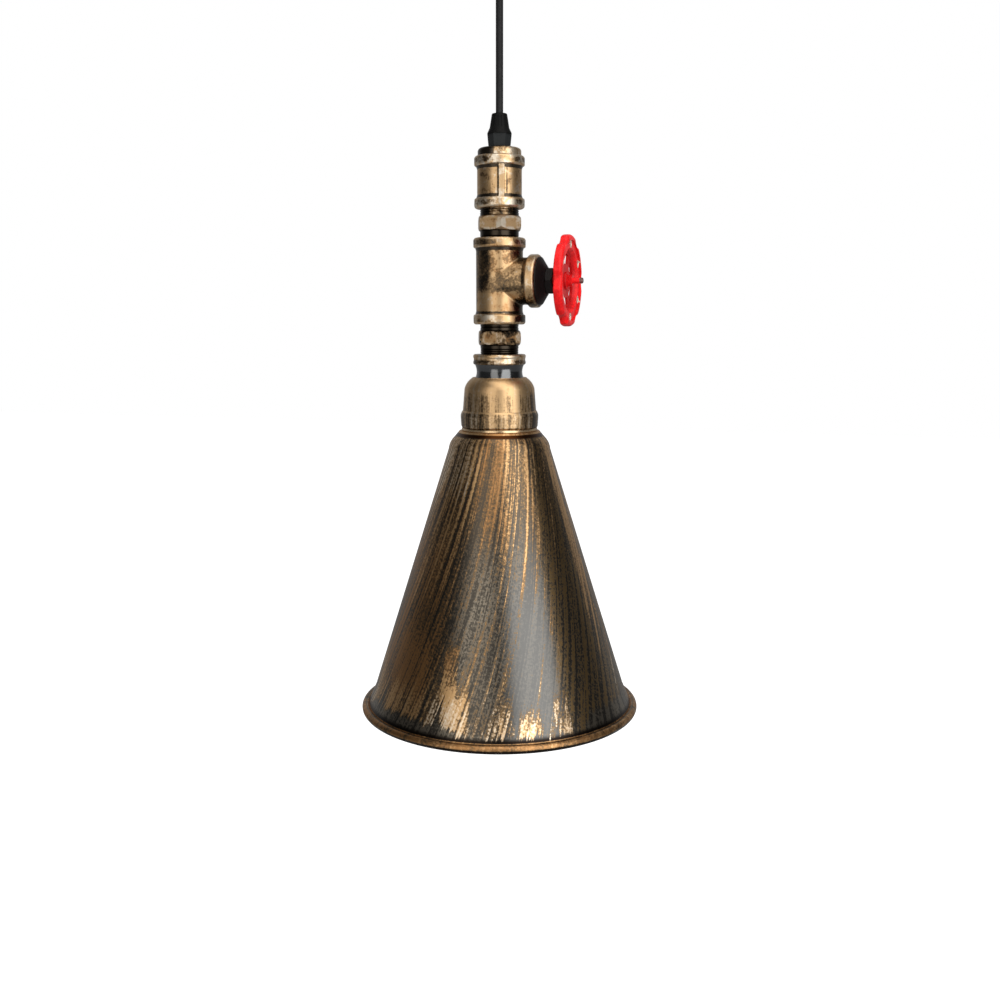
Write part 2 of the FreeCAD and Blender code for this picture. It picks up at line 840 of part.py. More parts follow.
def make_neck():
    """Black waisted neck between the collar and the lampholder cap."""
    plate = cap_top + neck_plate
    return turned([
        (pipe_socket_radius, neck_top),
        (neck_top_radius, neck_top),
        ((neck_waist_radius, neck_top - neck_waist_drop), (neck_foot_radius, cap_top)),
        (stub_hole_radius, cap_top),
        (stub_hole_radius, plate),
        (pipe_socket_radius, plate),
    ])


def make_tube():
    """Threaded tube that joins the neck to the lampholder cap."""
    return cylinder(stub_radius, tube_bottom, tube_top).cut(bore(tube_bore_radius, tube_bottom, tube_top))


# Lampholder

def make_cap():
    """Domed metal cap of the lampholder."""
    edge = cap_top - cap_top_drop
    shoulder = cap_top - cap_shoulder_drop
    slope = cap_sheet * bend_share
    return turned([
        (stub_hole_radius, cap_top),
        (cap_top_radius - cap_top_drop, cap_top),
        (cap_top_radius, edge),
        ((cap_dome_radius, cap_top - cap_dome_drop), (cap_shoulder_radius, shoulder)),
        (cap_foot_radius, skirt_top),
        (cap_foot_radius - cap_sheet, skirt_top),
        (cap_shoulder_radius - cap_sheet, shoulder),
        ((cap_dome_radius - slope, cap_top - cap_dome_drop - slope), (cap_top_radius - slope, edge - slope)),
        (cap_top_radius - cap_top_drop - slope, cap_top - cap_sheet),
        (stub_hole_radius, cap_top - cap_sheet),
    ])


def make_skirt():
    """Lampholder skirt: a spigot up into the cap, a round flange, and a tube down through the shade."""
    inner = skirt_tube_radius - skirt_tube_wall
    spigot_top = skirt_top + skirt_spigot_height
    spigot_inner = skirt_spigot_radius - skirt_spigot_wall
    return turned([
        (spigot_inner, spigot_top),
        (skirt_spigot_radius, spigot_top),
        (skirt_spigot_radius, skirt_top),
        (skirt_top_radius, skirt_top),
        ((skirt_slope_radius, skirt_top - skirt_slope_middle), (skirt_radius, skirt_top - skirt_slope_height)),
        *foot_round(skirt_foot_radius, washer_top, skirt_round),
        (skirt_recess_radius, washer_top),
        (skirt_recess_radius, washer_top + skirt_recess),
        (skirt_tube_radius + skirt_recess, washer_top + skirt_recess),
        (skirt_tube_radius + skirt_recess, washer_top),
        (skirt_tube_radius, washer_top),
        (skirt_tube_radius, washer_top - skirt_tube_length),
        (inner, washer_top - skirt_tube_length),
        (inner, skirt_top),
        (spigot_inner, skirt_top),
    ])


def make_core():
    """Insulating core: a flange on the skirt, a cavity for the lamp's thread, two screw holes."""
    core = turned([
        (0, core_top),
        *top_round(core_radius, core_top, core_round),
        (core_radius, skirt_top + core_flange_height),
        (core_flange_radius, skirt_top + core_flange_height),
        (core_flange_radius, skirt_top),
        (core_radius, skirt_top),
        *foot_round(core_radius, core_bottom, core_round),
        (core_cavity_radius, core_bottom), (core_cavity_radius, cavity_top), (0, cavity_top),
    ])
    hole = bore(core_screw_radius + stem_gap, cavity_top, core_top)
    return core.cut([moved(hole, side * core_screw_offset, 0, 0) for side in (-1, 1)])


def make_core_screws():
    """Slotted brass screws through the core, down to the contacts in its cavity."""
    head_top = core_top + core_screw_head_height
    screw = turned([
        (0, head_top), (core_screw_head_radius, head_top), (core_screw_head_radius, core_top),
        (core_screw_radius, core_top), (core_screw_radius, cavity_top), (0, cavity_top),
    ]).cut(slot(core_screw_slot_width, 2 * core_screw_head_radius, core_screw_slot_depth, head_top))
    return [moved(screw, side * core_screw_offset, 0, 0) for side in (-1, 1)]


def make_sleeve():
    """Metal sleeve that the bulb screws into, with a tab to one of the screws."""
    inner = sleeve_radius - sleeve_wall
    ring = cylinder(sleeve_radius, sleeve_bottom, cavity_top).cut(bore(inner, sleeve_bottom, cavity_top))
    tab = Part.makeBox(sleeve_radius - sleeve_wall / 2 - sleeve_tab_reach, sleeve_tab_width, sleeve_wall,
                       FreeCAD.Vector(-sleeve_radius + sleeve_wall / 2, -sleeve_tab_width / 2,
                                      cavity_top - sleeve_wall))
    return ring.fuse(tab).removeSplitter()


def make_contact():
    """Spring strip under the cavity's roof, with a round contact in its middle."""
    strip = Part.makeBox(contact_end - contact_start, contact_width, contact_sheet,
                         FreeCAD.Vector(contact_start, -contact_width / 2, cavity_top - contact_sheet))
    dome = cylinder(contact_dome_radius, cavity_top - contact_sheet - contact_dome_height, cavity_top)
    return strip.fuse(dome).removeSplitter()


# Shade and its rings

def make_washer():
    """Bright ring between the skirt and the shade."""
    return turned([
        (tube_hole_radius, washer_top),
        *top_round(washer_radius, washer_top, washer_round),
        *foot_round(washer_radius, shade_top, washer_round),
        (tube_hole_radius, shade_top),
    ])


def sunk(radius, height, slope, next_slope, depth):
    """Point below the outer face, square to it, where the face turns from one slope to the next."""
    middle = math.radians((slope + next_slope) / 2)
    reach = depth / math.cos(math.radians(next_slope - slope) / 2)
    return (radius - reach * math.sin(middle), height - reach * math.cos(middle))


def shade_face(depth):
    """Outer face of the shade, or the face a depth below it, from the hole out to the bead."""
    return [
        (tube_hole_radius, shade_top - depth),
        sunk(shade_top_radius, shade_top, 0, shade_top_slope, depth),
        sunk(shade_top_radius + shade_slope_run, shade_top - shade_top_slope_drop,
             shade_top_slope, shade_top_slope, depth),
        (sunk(shade_bend_radius, shade_top - shade_bend_drop, shade_bend_slope, shade_bend_slope, depth),
         sunk(shade_wall_radius - shade_wall_run, shade_top - shade_wall_start,
              shade_wall_slope, shade_wall_slope, depth)),
        sunk(shade_wall_radius, shade_bottom + shade_wall_foot, shade_wall_slope, shade_flare_slope, depth),
        sunk(shade_wall_radius + shade_flare_run, shade_bottom + shade_flare_foot,
             shade_flare_slope, shade_flare_slope, depth),
    ]


def make_shade():
    """Spun conical shade with a sloped shoulder and a rolled bead round its mouth."""
    hole, rim, shoulder, (bend, wall), foot, end = shade_face(shade_sheet)
    cone = turned(shade_face(0.0) + [end, foot, wall, (bend, shoulder), rim, hole])
    bead = Part.makeTorus(bead_ring_radius, bead_radius, FreeCAD.Vector(0, 0, shade_bottom + bead_radius))
    return cone.fuse(bead).removeSplitter()


def make_clamp():
    """Ring on the skirt's tube that holds the shade up from inside, with grip notches."""
    top = shade_top - shade_sheet
    foot = top - clamp_height
    ring = turned([
        (tube_hole_radius, top), (clamp_radius, top), (clamp_radius, foot + clamp_chamfer),
        (clamp_radius - clamp_chamfer, foot), (tube_hole_radius, foot),
    ])
    notch = moved(cylinder(clamp_notch_radius, foot - overcut, top - clamp_notch_top),
                  clamp_radius + clamp_notch_radius - clamp_notch_depth, 0, 0)
    return ring.cut(around(notch, clamp_notches, 0))


# Bulb

def make_bulb_contact():
    """Insulated tip of the bulb's cap with its centre contact."""
    return turned([
        (0, bulb_top),
        (bulb_contact_radius - bulb_contact_chamfer, bulb_top),
        (bulb_contact_radius, bulb_top - bulb_contact_chamfer),
        (bulb_contact_radius, bulb_top - bulb_contact_height),
        (bulb_insulator_radius, bulb_cap_top), (0, bulb_cap_top),
    ])


def make_bulb_cap():
    """Metal cap of the bulb, open below for the glass."""
    inner = bulb_cap_radius - bulb_cap_sheet
    return turned([
        (0, bulb_cap_top), (bulb_insulator_radius, bulb_cap_top),
        (bulb_cap_radius, bulb_cap_top - bulb_cap_shoulder), (bulb_cap_radius, bulb_cap_bottom),
        (inner, bulb_cap_bottom), (inner, bulb_cap_top - bulb_cap_shoulder - bulb_cap_sheet),
        (bulb_insulator_radius, bulb_cap_top - bulb_cap_sheet), (0, bulb_cap_top - bulb_cap_sheet),
    ])


def bulb_face(inset):
    """Neck and globe of the glass, from its top edge down to the axis."""
    neck = bulb_neck_radius - inset
    globe = bulb_globe_radius - inset
    neck_end = bulb_cap_bottom - bulb_neck_length
    centre = bulb_cap_bottom - bulb_globe_drop
    join = math.radians(bulb_bend_angle)
    side = globe * math.cos(join)
    rise = globe * math.sin(join)
    middle = ((neck + side) / 2 - bulb_bend_sag, (neck_end + centre + rise) / 2)
    return [(neck, neck_end), (middle, (side, centre + rise)), ((side, centre - rise), (0, centre - globe))]


def make_bulb_glass():
    """Glass bulb, open at its neck inside the cap."""
    top = bulb_cap_bottom + bulb_cap_overlap
    inner_neck = bulb_neck_radius - bulb_glass_wall
    outer = turned([(0, top), (bulb_neck_radius, top)] + bulb_face(0.0))
    inner = turned([(0, top + overcut), (inner_neck, top + overcut)] + bulb_face(bulb_glass_wall))
    return outer.cut(inner)


def make_bulb_stem():
    """Glass stem that flares out to the bulb's neck."""
    top = bulb_cap_bottom
    neck = bulb_neck_radius - bulb_glass_wall
    flare_end = top - stem_flare_height
    foot = flare_end - stem_post_length
    return turned([
        (0, top), (neck, top), (neck, top - stem_flare_edge),
        ((stem_post_radius + stem_flare_bend, flare_end + stem_flare_bend), (stem_post_radius, flare_end)),
        (stem_post_radius, foot + stem_post_radius), (0, foot),
    ])


def make_filament_frame():
    """Two discs on a post that hold the light sticks below the glass stem."""
    top = filament_top
    foot = top - filament_length
    post = cylinder(filament_post_radius, foot, top)
    discs = [cylinder(filament_disc_radius, top - filament_disc_sheet, top),
             cylinder(filament_disc_radius, foot, foot + filament_disc_sheet)]
    return post.fuse(discs).removeSplitter()


def make_filaments():
    """Light sticks between the two discs."""
    foot = filament_top - filament_length
    stick = moved(cylinder(filament_radius, foot + filament_disc_sheet, filament_top - filament_disc_sheet),
                  filament_circle, 0, 0)
    return around(stick, filament_count, 0)


# Valve on the branch

def make_bonnet():
    """Black cone that closes the branch and carries the spindle."""
    inner_end = bonnet_face - bonnet_insert
    hollow_end = inner_end + bonnet_hollow_depth
    hole = spindle_radius + stem_gap
    return on_branch(turned([
        (hole, packing_face), (bonnet_nose_radius, packing_face),
        (bonnet_radius, bonnet_face + bonnet_lip), (bonnet_radius, bonnet_face),
        (pipe_thread_radius, bonnet_face), (pipe_thread_radius, inner_end),
        (bonnet_hollow_radius, inner_end), (bonnet_hollow_radius, hollow_end), (hole, hollow_end),
    ]))


def make_packing_nut():
    """Hexagon nut that presses the spindle's packing."""
    end = packing_face + packing_height
    nut = chamfered_hexagon(packing_flats, packing_face, end, packing_flats / 2, nut_chamfer, locknut_turn)
    return on_branch(nut.cut(bore(spindle_radius + stem_gap, packing_face, end)))


def make_spindle():
    """Spindle with a clip groove inside the bonnet and a threaded tip outside the hub."""
    neck = spindle_radius - clip_groove
    tip = hub_end + spindle_tip
    return on_branch(turned([
        (0, tip), (screw_radius - spindle_tip_chamfer, tip), (screw_radius, tip - spindle_tip_chamfer),
        (screw_radius, hub_end - thread_gap), (spindle_radius, hub_end - thread_gap),
        (spindle_radius, clip_face + clip_sheet + thread_gap), (neck, clip_face + clip_sheet + thread_gap),
        (neck, clip_face - thread_gap), (spindle_radius, clip_face - thread_gap),
        (spindle_radius, clip_face - spindle_tail), (0, clip_face - spindle_tail),
    ]))


def make_clip():
    """Open ring in the spindle's groove that stops it sliding out."""
    end = clip_face + clip_sheet
    ring = cylinder(clip_radius, clip_face, end).cut(
        bore(spindle_radius - clip_groove + stem_gap, clip_face, end))
    mouth = Part.makeBox(clip_radius + overcut, clip_mouth, clip_sheet + 2 * overcut,
                         FreeCAD.Vector(0, -clip_mouth / 2, clip_face - overcut))
    return on_branch(ring.cut(mouth))


def notched_disc(start, end):
    """Disc with rounded notches round its edge, which leave lobes between them."""
    disc = cylinder(wheel_radius, start, end)
    notch = moved(bore(wheel_notch_radius, start, end),
                  wheel_radius + wheel_notch_radius - wheel_notch_depth, 0, 0)
    whole = disc.cut(around(notch, wheel_lobe_count, 180.0 / wheel_lobe_count))
    return whole.makeFillet(wheel_notch_round, [e for e in whole.Edges if e.BoundBox.ZLength > overlap_limit])


def flat_edges(shape, height):
    """Edges of a shape that lie in the plane at one height."""
    return [e for e in shape.Edges if abs(e.BoundBox.ZMin - height) + abs(e.BoundBox.ZMax - height) < overlap_limit]


def lobe_hole(start, end):
    """Hole through a lobe, with a wide chamfer at its front."""
    sink = lobe_hole_radius + lobe_hole_chamfer
    cone = Part.makeCone(lobe_hole_radius, sink, lobe_hole_chamfer, FreeCAD.Vector(0, 0, end - lobe_hole_chamfer))
    hole = bore(lobe_hole_radius, start, end).fuse([cone, cylinder(sink, end, end + overcut)])
    return moved(hole, lobe_hole_circle, 0, 0)


def wheel_window(start, end):
    """Rounded window through the wheel's dish, in line with a lobe."""
    ring = cylinder(wheel_window_outer, start, end).cut(bore(wheel_window_inner, start, end))
    half = math.radians(wheel_window_half)
    corners = [(0, 0), (wheel_radius * math.cos(half), -wheel_radius * math.sin(half)),
               (wheel_radius * math.cos(half), wheel_radius * math.sin(half)), (0, 0)]
    wedge = Part.Face(Part.makePolygon([FreeCAD.Vector(x, y, start) for x, y in corners]))
    window = ring.common(wedge.extrude(FreeCAD.Vector(0, 0, end - start)))
    return window.makeFillet(wheel_window_round, [e for e in window.Edges if e.BoundBox.ZLength > overlap_limit])


def make_handwheel():
    """Cast handwheel: lobed rim, flat ring with a hole in each lobe, dished middle with windows, and hub."""
    rim_start = hub_face + wheel_rim_start
    rim_end = rim_start + wheel_rim_height
    web_end = rim_end - wheel_web_inset
    web_start = web_end - wheel_web
    floor_end = web_end - wheel_dish_depth
    floor_start = floor_end - wheel_web
    blank = notched_disc(rim_start, rim_end)
    blank = blank.makeFillet(wheel_front_round, flat_edges(blank, rim_end))
    blank = blank.makeFillet(wheel_back_round, flat_edges(blank, rim_start))
    pockets = [cylinder(wheel_pocket_radius, rim_start - overcut, web_start),
               cylinder(wheel_pocket_radius, web_end, rim_end + overcut),
               bore(wheel_dish_radius, web_start, web_end)]
    dish = turned([
        (0, floor_end), (wheel_floor_radius, floor_end), (wheel_dish_radius, web_end),
        (wheel_dish_radius, web_start), (wheel_floor_radius, floor_start), (0, floor_start),
    ])
    hub = turned([
        (0, hub_end), *top_round(hub_radius, hub_end, hub_round), (hub_radius, floor_start),
        (hub_root_radius, floor_start), (hub_back_radius, hub_face), (0, hub_face),
    ])
    tools = [bore(spindle_radius + thread_gap, hub_face, hub_end)]
    tools += around(lobe_hole(web_start, web_end), wheel_lobe_count, 0)
    tools += around(wheel_window(floor_start - overcut, floor_end + overcut), wheel_lobe_count, 0)
    return on_branch(blank.cut(pockets).fuse([dish, hub]).removeSplitter().cut(tools))


def make_wheel_washer():
    """Flat washer under the handwheel's nut."""
    ring = cylinder(face_washer_radius, hub_end, wheel_nut_face)
    return on_branch(ring.cut(bore(screw_radius + stem_gap, hub_end, wheel_nut_face)))


def make_wheel_nut():
    """Nut that holds the handwheel on its spindle."""
    end = wheel_nut_face + wheel_nut_height
    nut = chamfered_hexagon(wheel_nut_flats, wheel_nut_face, end, wheel_nut_flats / 2, wheel_nut_chamfer, 0)
    return on_branch(nut.cut(bore(screw_radius + stem_gap, wheel_nut_face, end)))


def export(name, pieces):
    """Write one node, a solid or a group of separate solids, and print what it holds."""
    if not isinstance(pieces, list):
        pieces = [pieces]
    solids = [solid for piece in pieces for solid in piece.Solids]
    whole = solids[0] if len(solids) == 1 else Part.makeCompound(solids)
    whole.exportStep("parts/" + name + ".step")
    print(name, "solids", len(solids), "volume", round(whole.Volume, 1), "valid", whole.isValid())


os.makedirs("parts", exist_ok=True)

export("ceiling_bracket", make_bracket())
export("ceiling_canopy", make_canopy())
export("canopy_screws", [make_side_screw(-1), make_side_screw(1)])
export("terminal_block", make_terminal_block())
export("terminal_screws", make_terminal_screws())
export("block_screw", make_block_screw())
export("ceiling_grip_nut", at_ceiling(grip_nut()))
export("ceiling_grip_body", at_ceiling(grip_body()))
export("ceiling_grip_locknut", at_ceiling(locknut(-grip_length - canopy_sheet)))
export("ceiling_lead", make_ceiling_lead())
export("ceiling_wires", make_ceiling_wires())

export("cord", make_cord())

export("lamp_grip_nut", at_lamp(grip_nut()))
export("lamp_grip_body", at_lamp(grip_body()))
export("lamp_grip_locknut", at_lamp(locknut(-grip_length - plug_plate)))
export("lamp_lead", make_lamp_lead())
export("lamp_wires", make_lamp_wires())
export("pipe_plug", make_plug())
export("banded_socket", make_socket())
export("upper_nipple", make_nipple(upper_hex_top, neck_under_socket, neck_over_tee))
export("pipe_tee", make_tee())
export("lower_nipple", make_nipple(lower_hex_top, neck_under_tee, neck_over_collar))
export("neck_collar", make_collar())
export("black_neck", make_neck())
export("threaded_tube", make_tube())
export("tube_locknuts", [locknut(cap_top + neck_plate + locknut_height), locknut(cap_top - cap_sheet)])
export("holder_cap", make_cap())
export("holder_skirt", make_skirt())
export("holder_core", make_core())
export("holder_screws", make_core_screws())
export("holder_sleeve", make_sleeve())
export("centre_contact", make_contact())
export("shade_washer", make_washer())
export("shade", make_shade())
export("shade_clamp_ring", make_clamp())
export("bulb_contact", make_bulb_contact())
export("bulb_cap", make_bulb_cap())
export("bulb_glass", make_bulb_glass())
export("bulb_stem", make_bulb_stem())
export("filament_frame", make_filament_frame())
export("bulb_filaments", make_filaments())
export("valve_bonnet", make_bonnet())
export("packing_nut", make_packing_nut())

export("valve_spindle", make_spindle())
export("spindle_clip", make_clip())
export("handwheel", make_handwheel())
export("wheel_washer", make_wheel_washer())
export("wheel_nut", make_wheel_nut())
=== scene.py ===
import math

import bpy
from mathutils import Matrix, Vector


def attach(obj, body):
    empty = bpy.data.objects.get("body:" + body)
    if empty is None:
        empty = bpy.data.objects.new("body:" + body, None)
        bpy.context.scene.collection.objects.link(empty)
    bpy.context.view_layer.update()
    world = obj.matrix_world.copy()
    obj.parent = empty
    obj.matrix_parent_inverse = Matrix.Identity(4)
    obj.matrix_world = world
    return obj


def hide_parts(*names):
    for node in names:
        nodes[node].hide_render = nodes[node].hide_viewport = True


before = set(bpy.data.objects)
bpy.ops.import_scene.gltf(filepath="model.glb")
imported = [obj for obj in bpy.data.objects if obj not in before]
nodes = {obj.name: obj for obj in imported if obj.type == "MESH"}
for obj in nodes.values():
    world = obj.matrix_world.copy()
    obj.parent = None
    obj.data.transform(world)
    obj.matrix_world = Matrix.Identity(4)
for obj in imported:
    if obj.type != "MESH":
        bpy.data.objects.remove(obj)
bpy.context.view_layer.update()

# Camera, as the photo shows the lamp
RIM_Z = -0.548
CAMERA_AZIMUTH = math.radians(17.3)
CAMERA_YAW = math.radians(17.275)
CAMERA_DISTANCE = 0.7977
CAMERA_HEIGHT = RIM_Z + 0.2758
CAMERA_PITCH = math.radians(8.80)
CAMERA_LENS = 40.68
SENSOR = 36.0
NEAREST = 0.01
FARTHEST = 100.0
TO_CAMERA = (math.sin(CAMERA_AZIMUTH), -math.cos(CAMERA_AZIMUTH), 0.0)

camera_data = bpy.data.cameras.new("camera")
camera_data.lens = CAMERA_LENS
camera_data.sensor_width = SENSOR
camera_data.clip_start = NEAREST
camera_data.clip_end = FARTHEST
camera = bpy.data.objects.new("camera", camera_data)
bpy.context.scene.collection.objects.link(camera)
camera.location = (TO_CAMERA[0] * CAMERA_DISTANCE, TO_CAMERA[1] * CAMERA_DISTANCE, CAMERA_HEIGHT)
camera.rotation_euler = (math.pi / 2 - CAMERA_PITCH, 0.0, CAMERA_YAW)
bpy.context.scene.camera = camera
bpy.context.scene.view_settings.view_transform = "Standard"


class Shader:
    """Short calls for building one node tree."""

    NOISE_MIDDLE = 0.5
    BUMP_STRENGTH = 0.5
    MIX_FROM = 6
    MIX_TO = 7
    MIX_RESULT = 2

    def __init__(self, tree):
        self.tree = tree
        tree.nodes.clear()

    def put(self, socket, value):
        """Link a socket, or set a constant."""
        if isinstance(value, bpy.types.NodeSocket):
            self.tree.links.new(value, socket)
        elif isinstance(value, tuple) and len(value) == 3 and socket.type == "RGBA":
            socket.default_value = value + (1.0,)
        else:
            socket.default_value = value

    def node(self, kind, inputs=None, **settings):
        """New node with its settings, and its inputs by name or number."""
        made = self.tree.nodes.new(kind)
        for key, value in settings.items():
            setattr(made, key, value)
        for key, value in (inputs or {}).items():
            self.put(made.inputs[key], value)
        return made

    def math(self, operation, a, b=0.0, c=0.0):
        return self.node("ShaderNodeMath", {0: a, 1: b, 2: c}, operation=operation).outputs[0]

    def total(self, *values):
        """Sum of any number of values."""
        result = values[0]
        for value in values[1:]:
            result = self.math("ADD", result, value)
        return result

    def product(self, *values):
        """Product of any number of values."""
        result = values[0]
        for value in values[1:]:
            result = self.math("MULTIPLY", result, value)
        return result

    def inverse(self, value):
        """One less a value."""
        return self.math("SUBTRACT", 1.0, value)

    def scaled(self, noise, factor):
        """Distance of a noise from its middle, times a factor."""
        return self.product(self.math("SUBTRACT", noise, self.NOISE_MIDDLE), factor)

    def mottled(self, noises, weights):
        """Sum of the named noises' distances from their middles, each times its weight."""
        return self.total(*(self.scaled(noises[name], weight) for name, weight in weights.items()))

    def place(self):
        """Point in the row frame, in metres: x, y, z and the vector."""
        point = self.node("ShaderNodeTexCoord").outputs["Object"]
        split = self.node("ShaderNodeSeparateXYZ", {0: point})
        return split.outputs[0], split.outputs[1], split.outputs[2], point

    def distance(self, a, b):
        """Length of a flat vector."""
        return self.math("SQRT", self.math("MULTIPLY_ADD", a, a, self.product(b, b)))

    def facing(self, x, y):
        """Angle about the lamp's axis in degrees, from the camera's side to its right."""
        angle = self.math("ARCTAN2", x, self.product(y, -1.0))
        return self.math("MULTIPLY_ADD", angle, math.degrees(1.0), -math.degrees(CAMERA_AZIMUTH))

    def step(self, value, low, high, to_low=0.0, to_high=1.0):
        """Smooth step of a value between two limits."""
        inputs = {"Value": value, "From Min": low, "From Max": high, "To Min": to_low, "To Max": to_high}
        return self.node("ShaderNodeMapRange", inputs, interpolation_type="SMOOTHSTEP").outputs[0]

    def patch(self, value, middle, half, soft):
        """One inside middle plus or minus half, falling to nothing over the soft stretch."""
        apart = self.math("ABSOLUTE", self.math("SUBTRACT", value, middle))
        return self.step(apart, half + soft, half)

    def vector(self, x, y, z):
        return self.node("ShaderNodeCombineXYZ", {0: x, 1: y, 2: z}).outputs[0]

    def noise(self, vector, scale, detail=3.0, roughness=0.6, distortion=0.0):
        inputs = {"Vector": vector, "Scale": scale, "Detail": detail, "Roughness": roughness,
                  "Distortion": distortion}
        return self.node("ShaderNodeTexNoise", inputs).outputs[0]

    def mix(self, factor, a, b):
        """Colour from a to b."""
        inputs = {0: factor, self.MIX_FROM: a, self.MIX_TO: b}
        return self.node("ShaderNodeMix", inputs, data_type="RGBA").outputs[self.MIX_RESULT]

    def bump(self, height, distance):
        inputs = {"Height": height, "Distance": distance, "Strength": self.BUMP_STRENGTH}
        return self.node("ShaderNodeBump", inputs).outputs[0]

    def surface(self, **inputs):
        """Principled surface with its sockets by name, underscores for spaces."""
        spaced = {key.replace("_", " "): value for key, value in inputs.items()}
        bsdf = self.node("ShaderNodeBsdfPrincipled", spaced)
        self.node("ShaderNodeOutputMaterial", {0: bsdf.outputs[0]})


def material(name):
    """New material, and the short calls for its node tree."""
    made = bpy.data.materials.new(name)
    made.use_nodes = True
    return made, Shader(made.node_tree)


def dress(made, *names):
    """Give the named nodes a material."""
    for name in names:
        slots = nodes[name].data.materials
        slots.clear()
        slots.append(made)


# Plain finishes: blots of darker colour, and fine grain in gloss and height
BLOT_TO_GRAIN = 0.12
BLOT_STEP = (0.3, 0.7)
GRAIN_STEP = (0.2, 0.8)
GLOSS_CHANGE = 0.15


def plain(name, color, roughness, metallic=0.0, scale=500.0, vary=0.25, bump=0.00004, **more):
    """Plain finish with a slight change of colour, gloss and height."""
    made, s = material(name)
    *_, place = s.place()
    grain = s.noise(place, scale)
    blot = s.noise(place, scale * BLOT_TO_GRAIN, detail=2.0, roughness=0.5)
    dark = tuple(part * (1.0 - vary) for part in color)
    tint = s.mix(s.step(blot, *BLOT_STEP), dark, color)
    rough = s.step(grain, *GRAIN_STEP, roughness * (1.0 - GLOSS_CHANGE), roughness * (1.0 + GLOSS_CHANGE))
    s.surface(Base_Color=tint, Metallic=metallic, Roughness=rough, Normal=s.bump(grain, bump), **more)
    return made


# The cord, straight between its two grips
CORD_DIAMETER = 0.005
CORD_ROUTE = (
    (0.0, 0.0, -0.0447),
    (0.0, 0.0, -0.0896),
    (0.0, 0.0, -0.1345),
)
CORD_COLOR = (0.009, 0.009, 0.010)
CORD_ROUGHNESS = 0.62
CORD_SPECULAR = 0.25

cord_curve = bpy.data.curves.new("cord_sheath_line", "CURVE")
cord_curve.dimensions = "3D"
cord_curve.bevel_depth = CORD_DIAMETER / 2
cord_curve.bevel_resolution = 6
cord_curve.use_fill_caps = True
spline = cord_curve.splines.new("NURBS")
spline.points.add(len(CORD_ROUTE) - 1)
for point, place in zip(spline.points, CORD_ROUTE):
    point.co = (*place, 1.0)
spline.order_u = 3
spline.use_endpoint_u = True
cord = bpy.data.objects.new("cord_line", cord_curve)
bpy.context.scene.collection.objects.link(cord)
cord_curve.materials.append(
    plain("cord_rubber", CORD_COLOR, CORD_ROUGHNESS, scale=900.0, Specular_IOR_Level=CORD_SPECULAR))
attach(cord, "hanging_cord")
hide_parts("cord")


# Bronze paints from pale to dark, those of the castings, and the dark grounds under them
CREAM = (0.83, 0.735, 0.59)
GOLD = (0.57, 0.36, 0.175)
COPPER = (0.34, 0.175, 0.070)
BROWN = (0.15, 0.100, 0.055)
CAST_CREAM = (0.66, 0.585, 0.475)
CAST_GOLD = (0.51, 0.340, 0.180)
GROUND = (0.112, 0.112, 0.110)
DEEP = (0.060, 0.048, 0.036)
IRON = (0.034, 0.027, 0.020)

# How far the paint covers the ground, and how its tone runs from copper to cream
BROWN_COVER = (0.26, 0.44)
PAINT_COVER = (0.42, 0.66)
RAISED_COVER = (0.30, 0.70)
ROUGH_COVER = (0.25, 0.65)
GOLD_TONE = (0.25, 0.50)
CREAM_TONE = (0.60, 0.92)
PAINT_ROUGHNESS = 0.38
PAINT_HEIGHT = 0.5
PAINT_DEPTH = 0.00012


def bronze_surface(s, cover, tone, grain, ground=GROUND, gloss=0.26, gold=GOLD, cream=CREAM):
    """Dark ground under thin brown and then full paint, copper to cream by its tone."""
    paint = s.mix(s.step(tone, *GOLD_TONE), COPPER, gold)
    paint = s.mix(s.step(tone, *CREAM_TONE), paint, cream)
    thin = s.mix(s.step(cover, *BROWN_COVER), ground, BROWN)
    color = s.mix(s.step(cover, *PAINT_COVER), thin, paint)
    rough = s.step(cover, *ROUGH_COVER, gloss, PAINT_ROUGHNESS)
    height = s.total(s.product(s.step(cover, *RAISED_COVER), PAINT_HEIGHT), grain)
    s.surface(Base_Color=color, Metallic=1.0, Roughness=rough, Normal=s.bump(height, PAINT_DEPTH))


def streaks(s, x, y, z, scale, squeeze, twist=0.0, detail=3.0):
    """Noise in streaks along the lamp, with a lean."""
    radius = s.distance(x, y)
    outward = s.vector(s.math("DIVIDE", x, radius), s.math("DIVIDE", y, radius), 0.0)
    turn = s.node("ShaderNodeVectorRotate", {"Vector": outward, "Angle": s.product(z, twist)},
                  rotation_type="Z_AXIS")
    split = s.node("ShaderNodeSeparateXYZ", {0: turn.outputs[0]})
    along = s.vector(split.outputs[0], split.outputs[1], s.product(z, squeeze))
    return s.noise(along, scale, detail)


def stripe(s, side, angle, half_angle):
    """Stripe down the lamp, whose edges are soft over half of its half width."""
    return s.patch(side, angle, half_angle, half_angle / 2)


def spot(s, side, level, patch):
    """Patch of paint: angle from the camera's side, its half width, level, its half height, amount."""
    angle, half_angle, middle, half_level, amount = patch
    along = s.patch(level, middle, half_level, half_level)
    return s.product(stripe(s, side, angle, half_angle), along, amount)


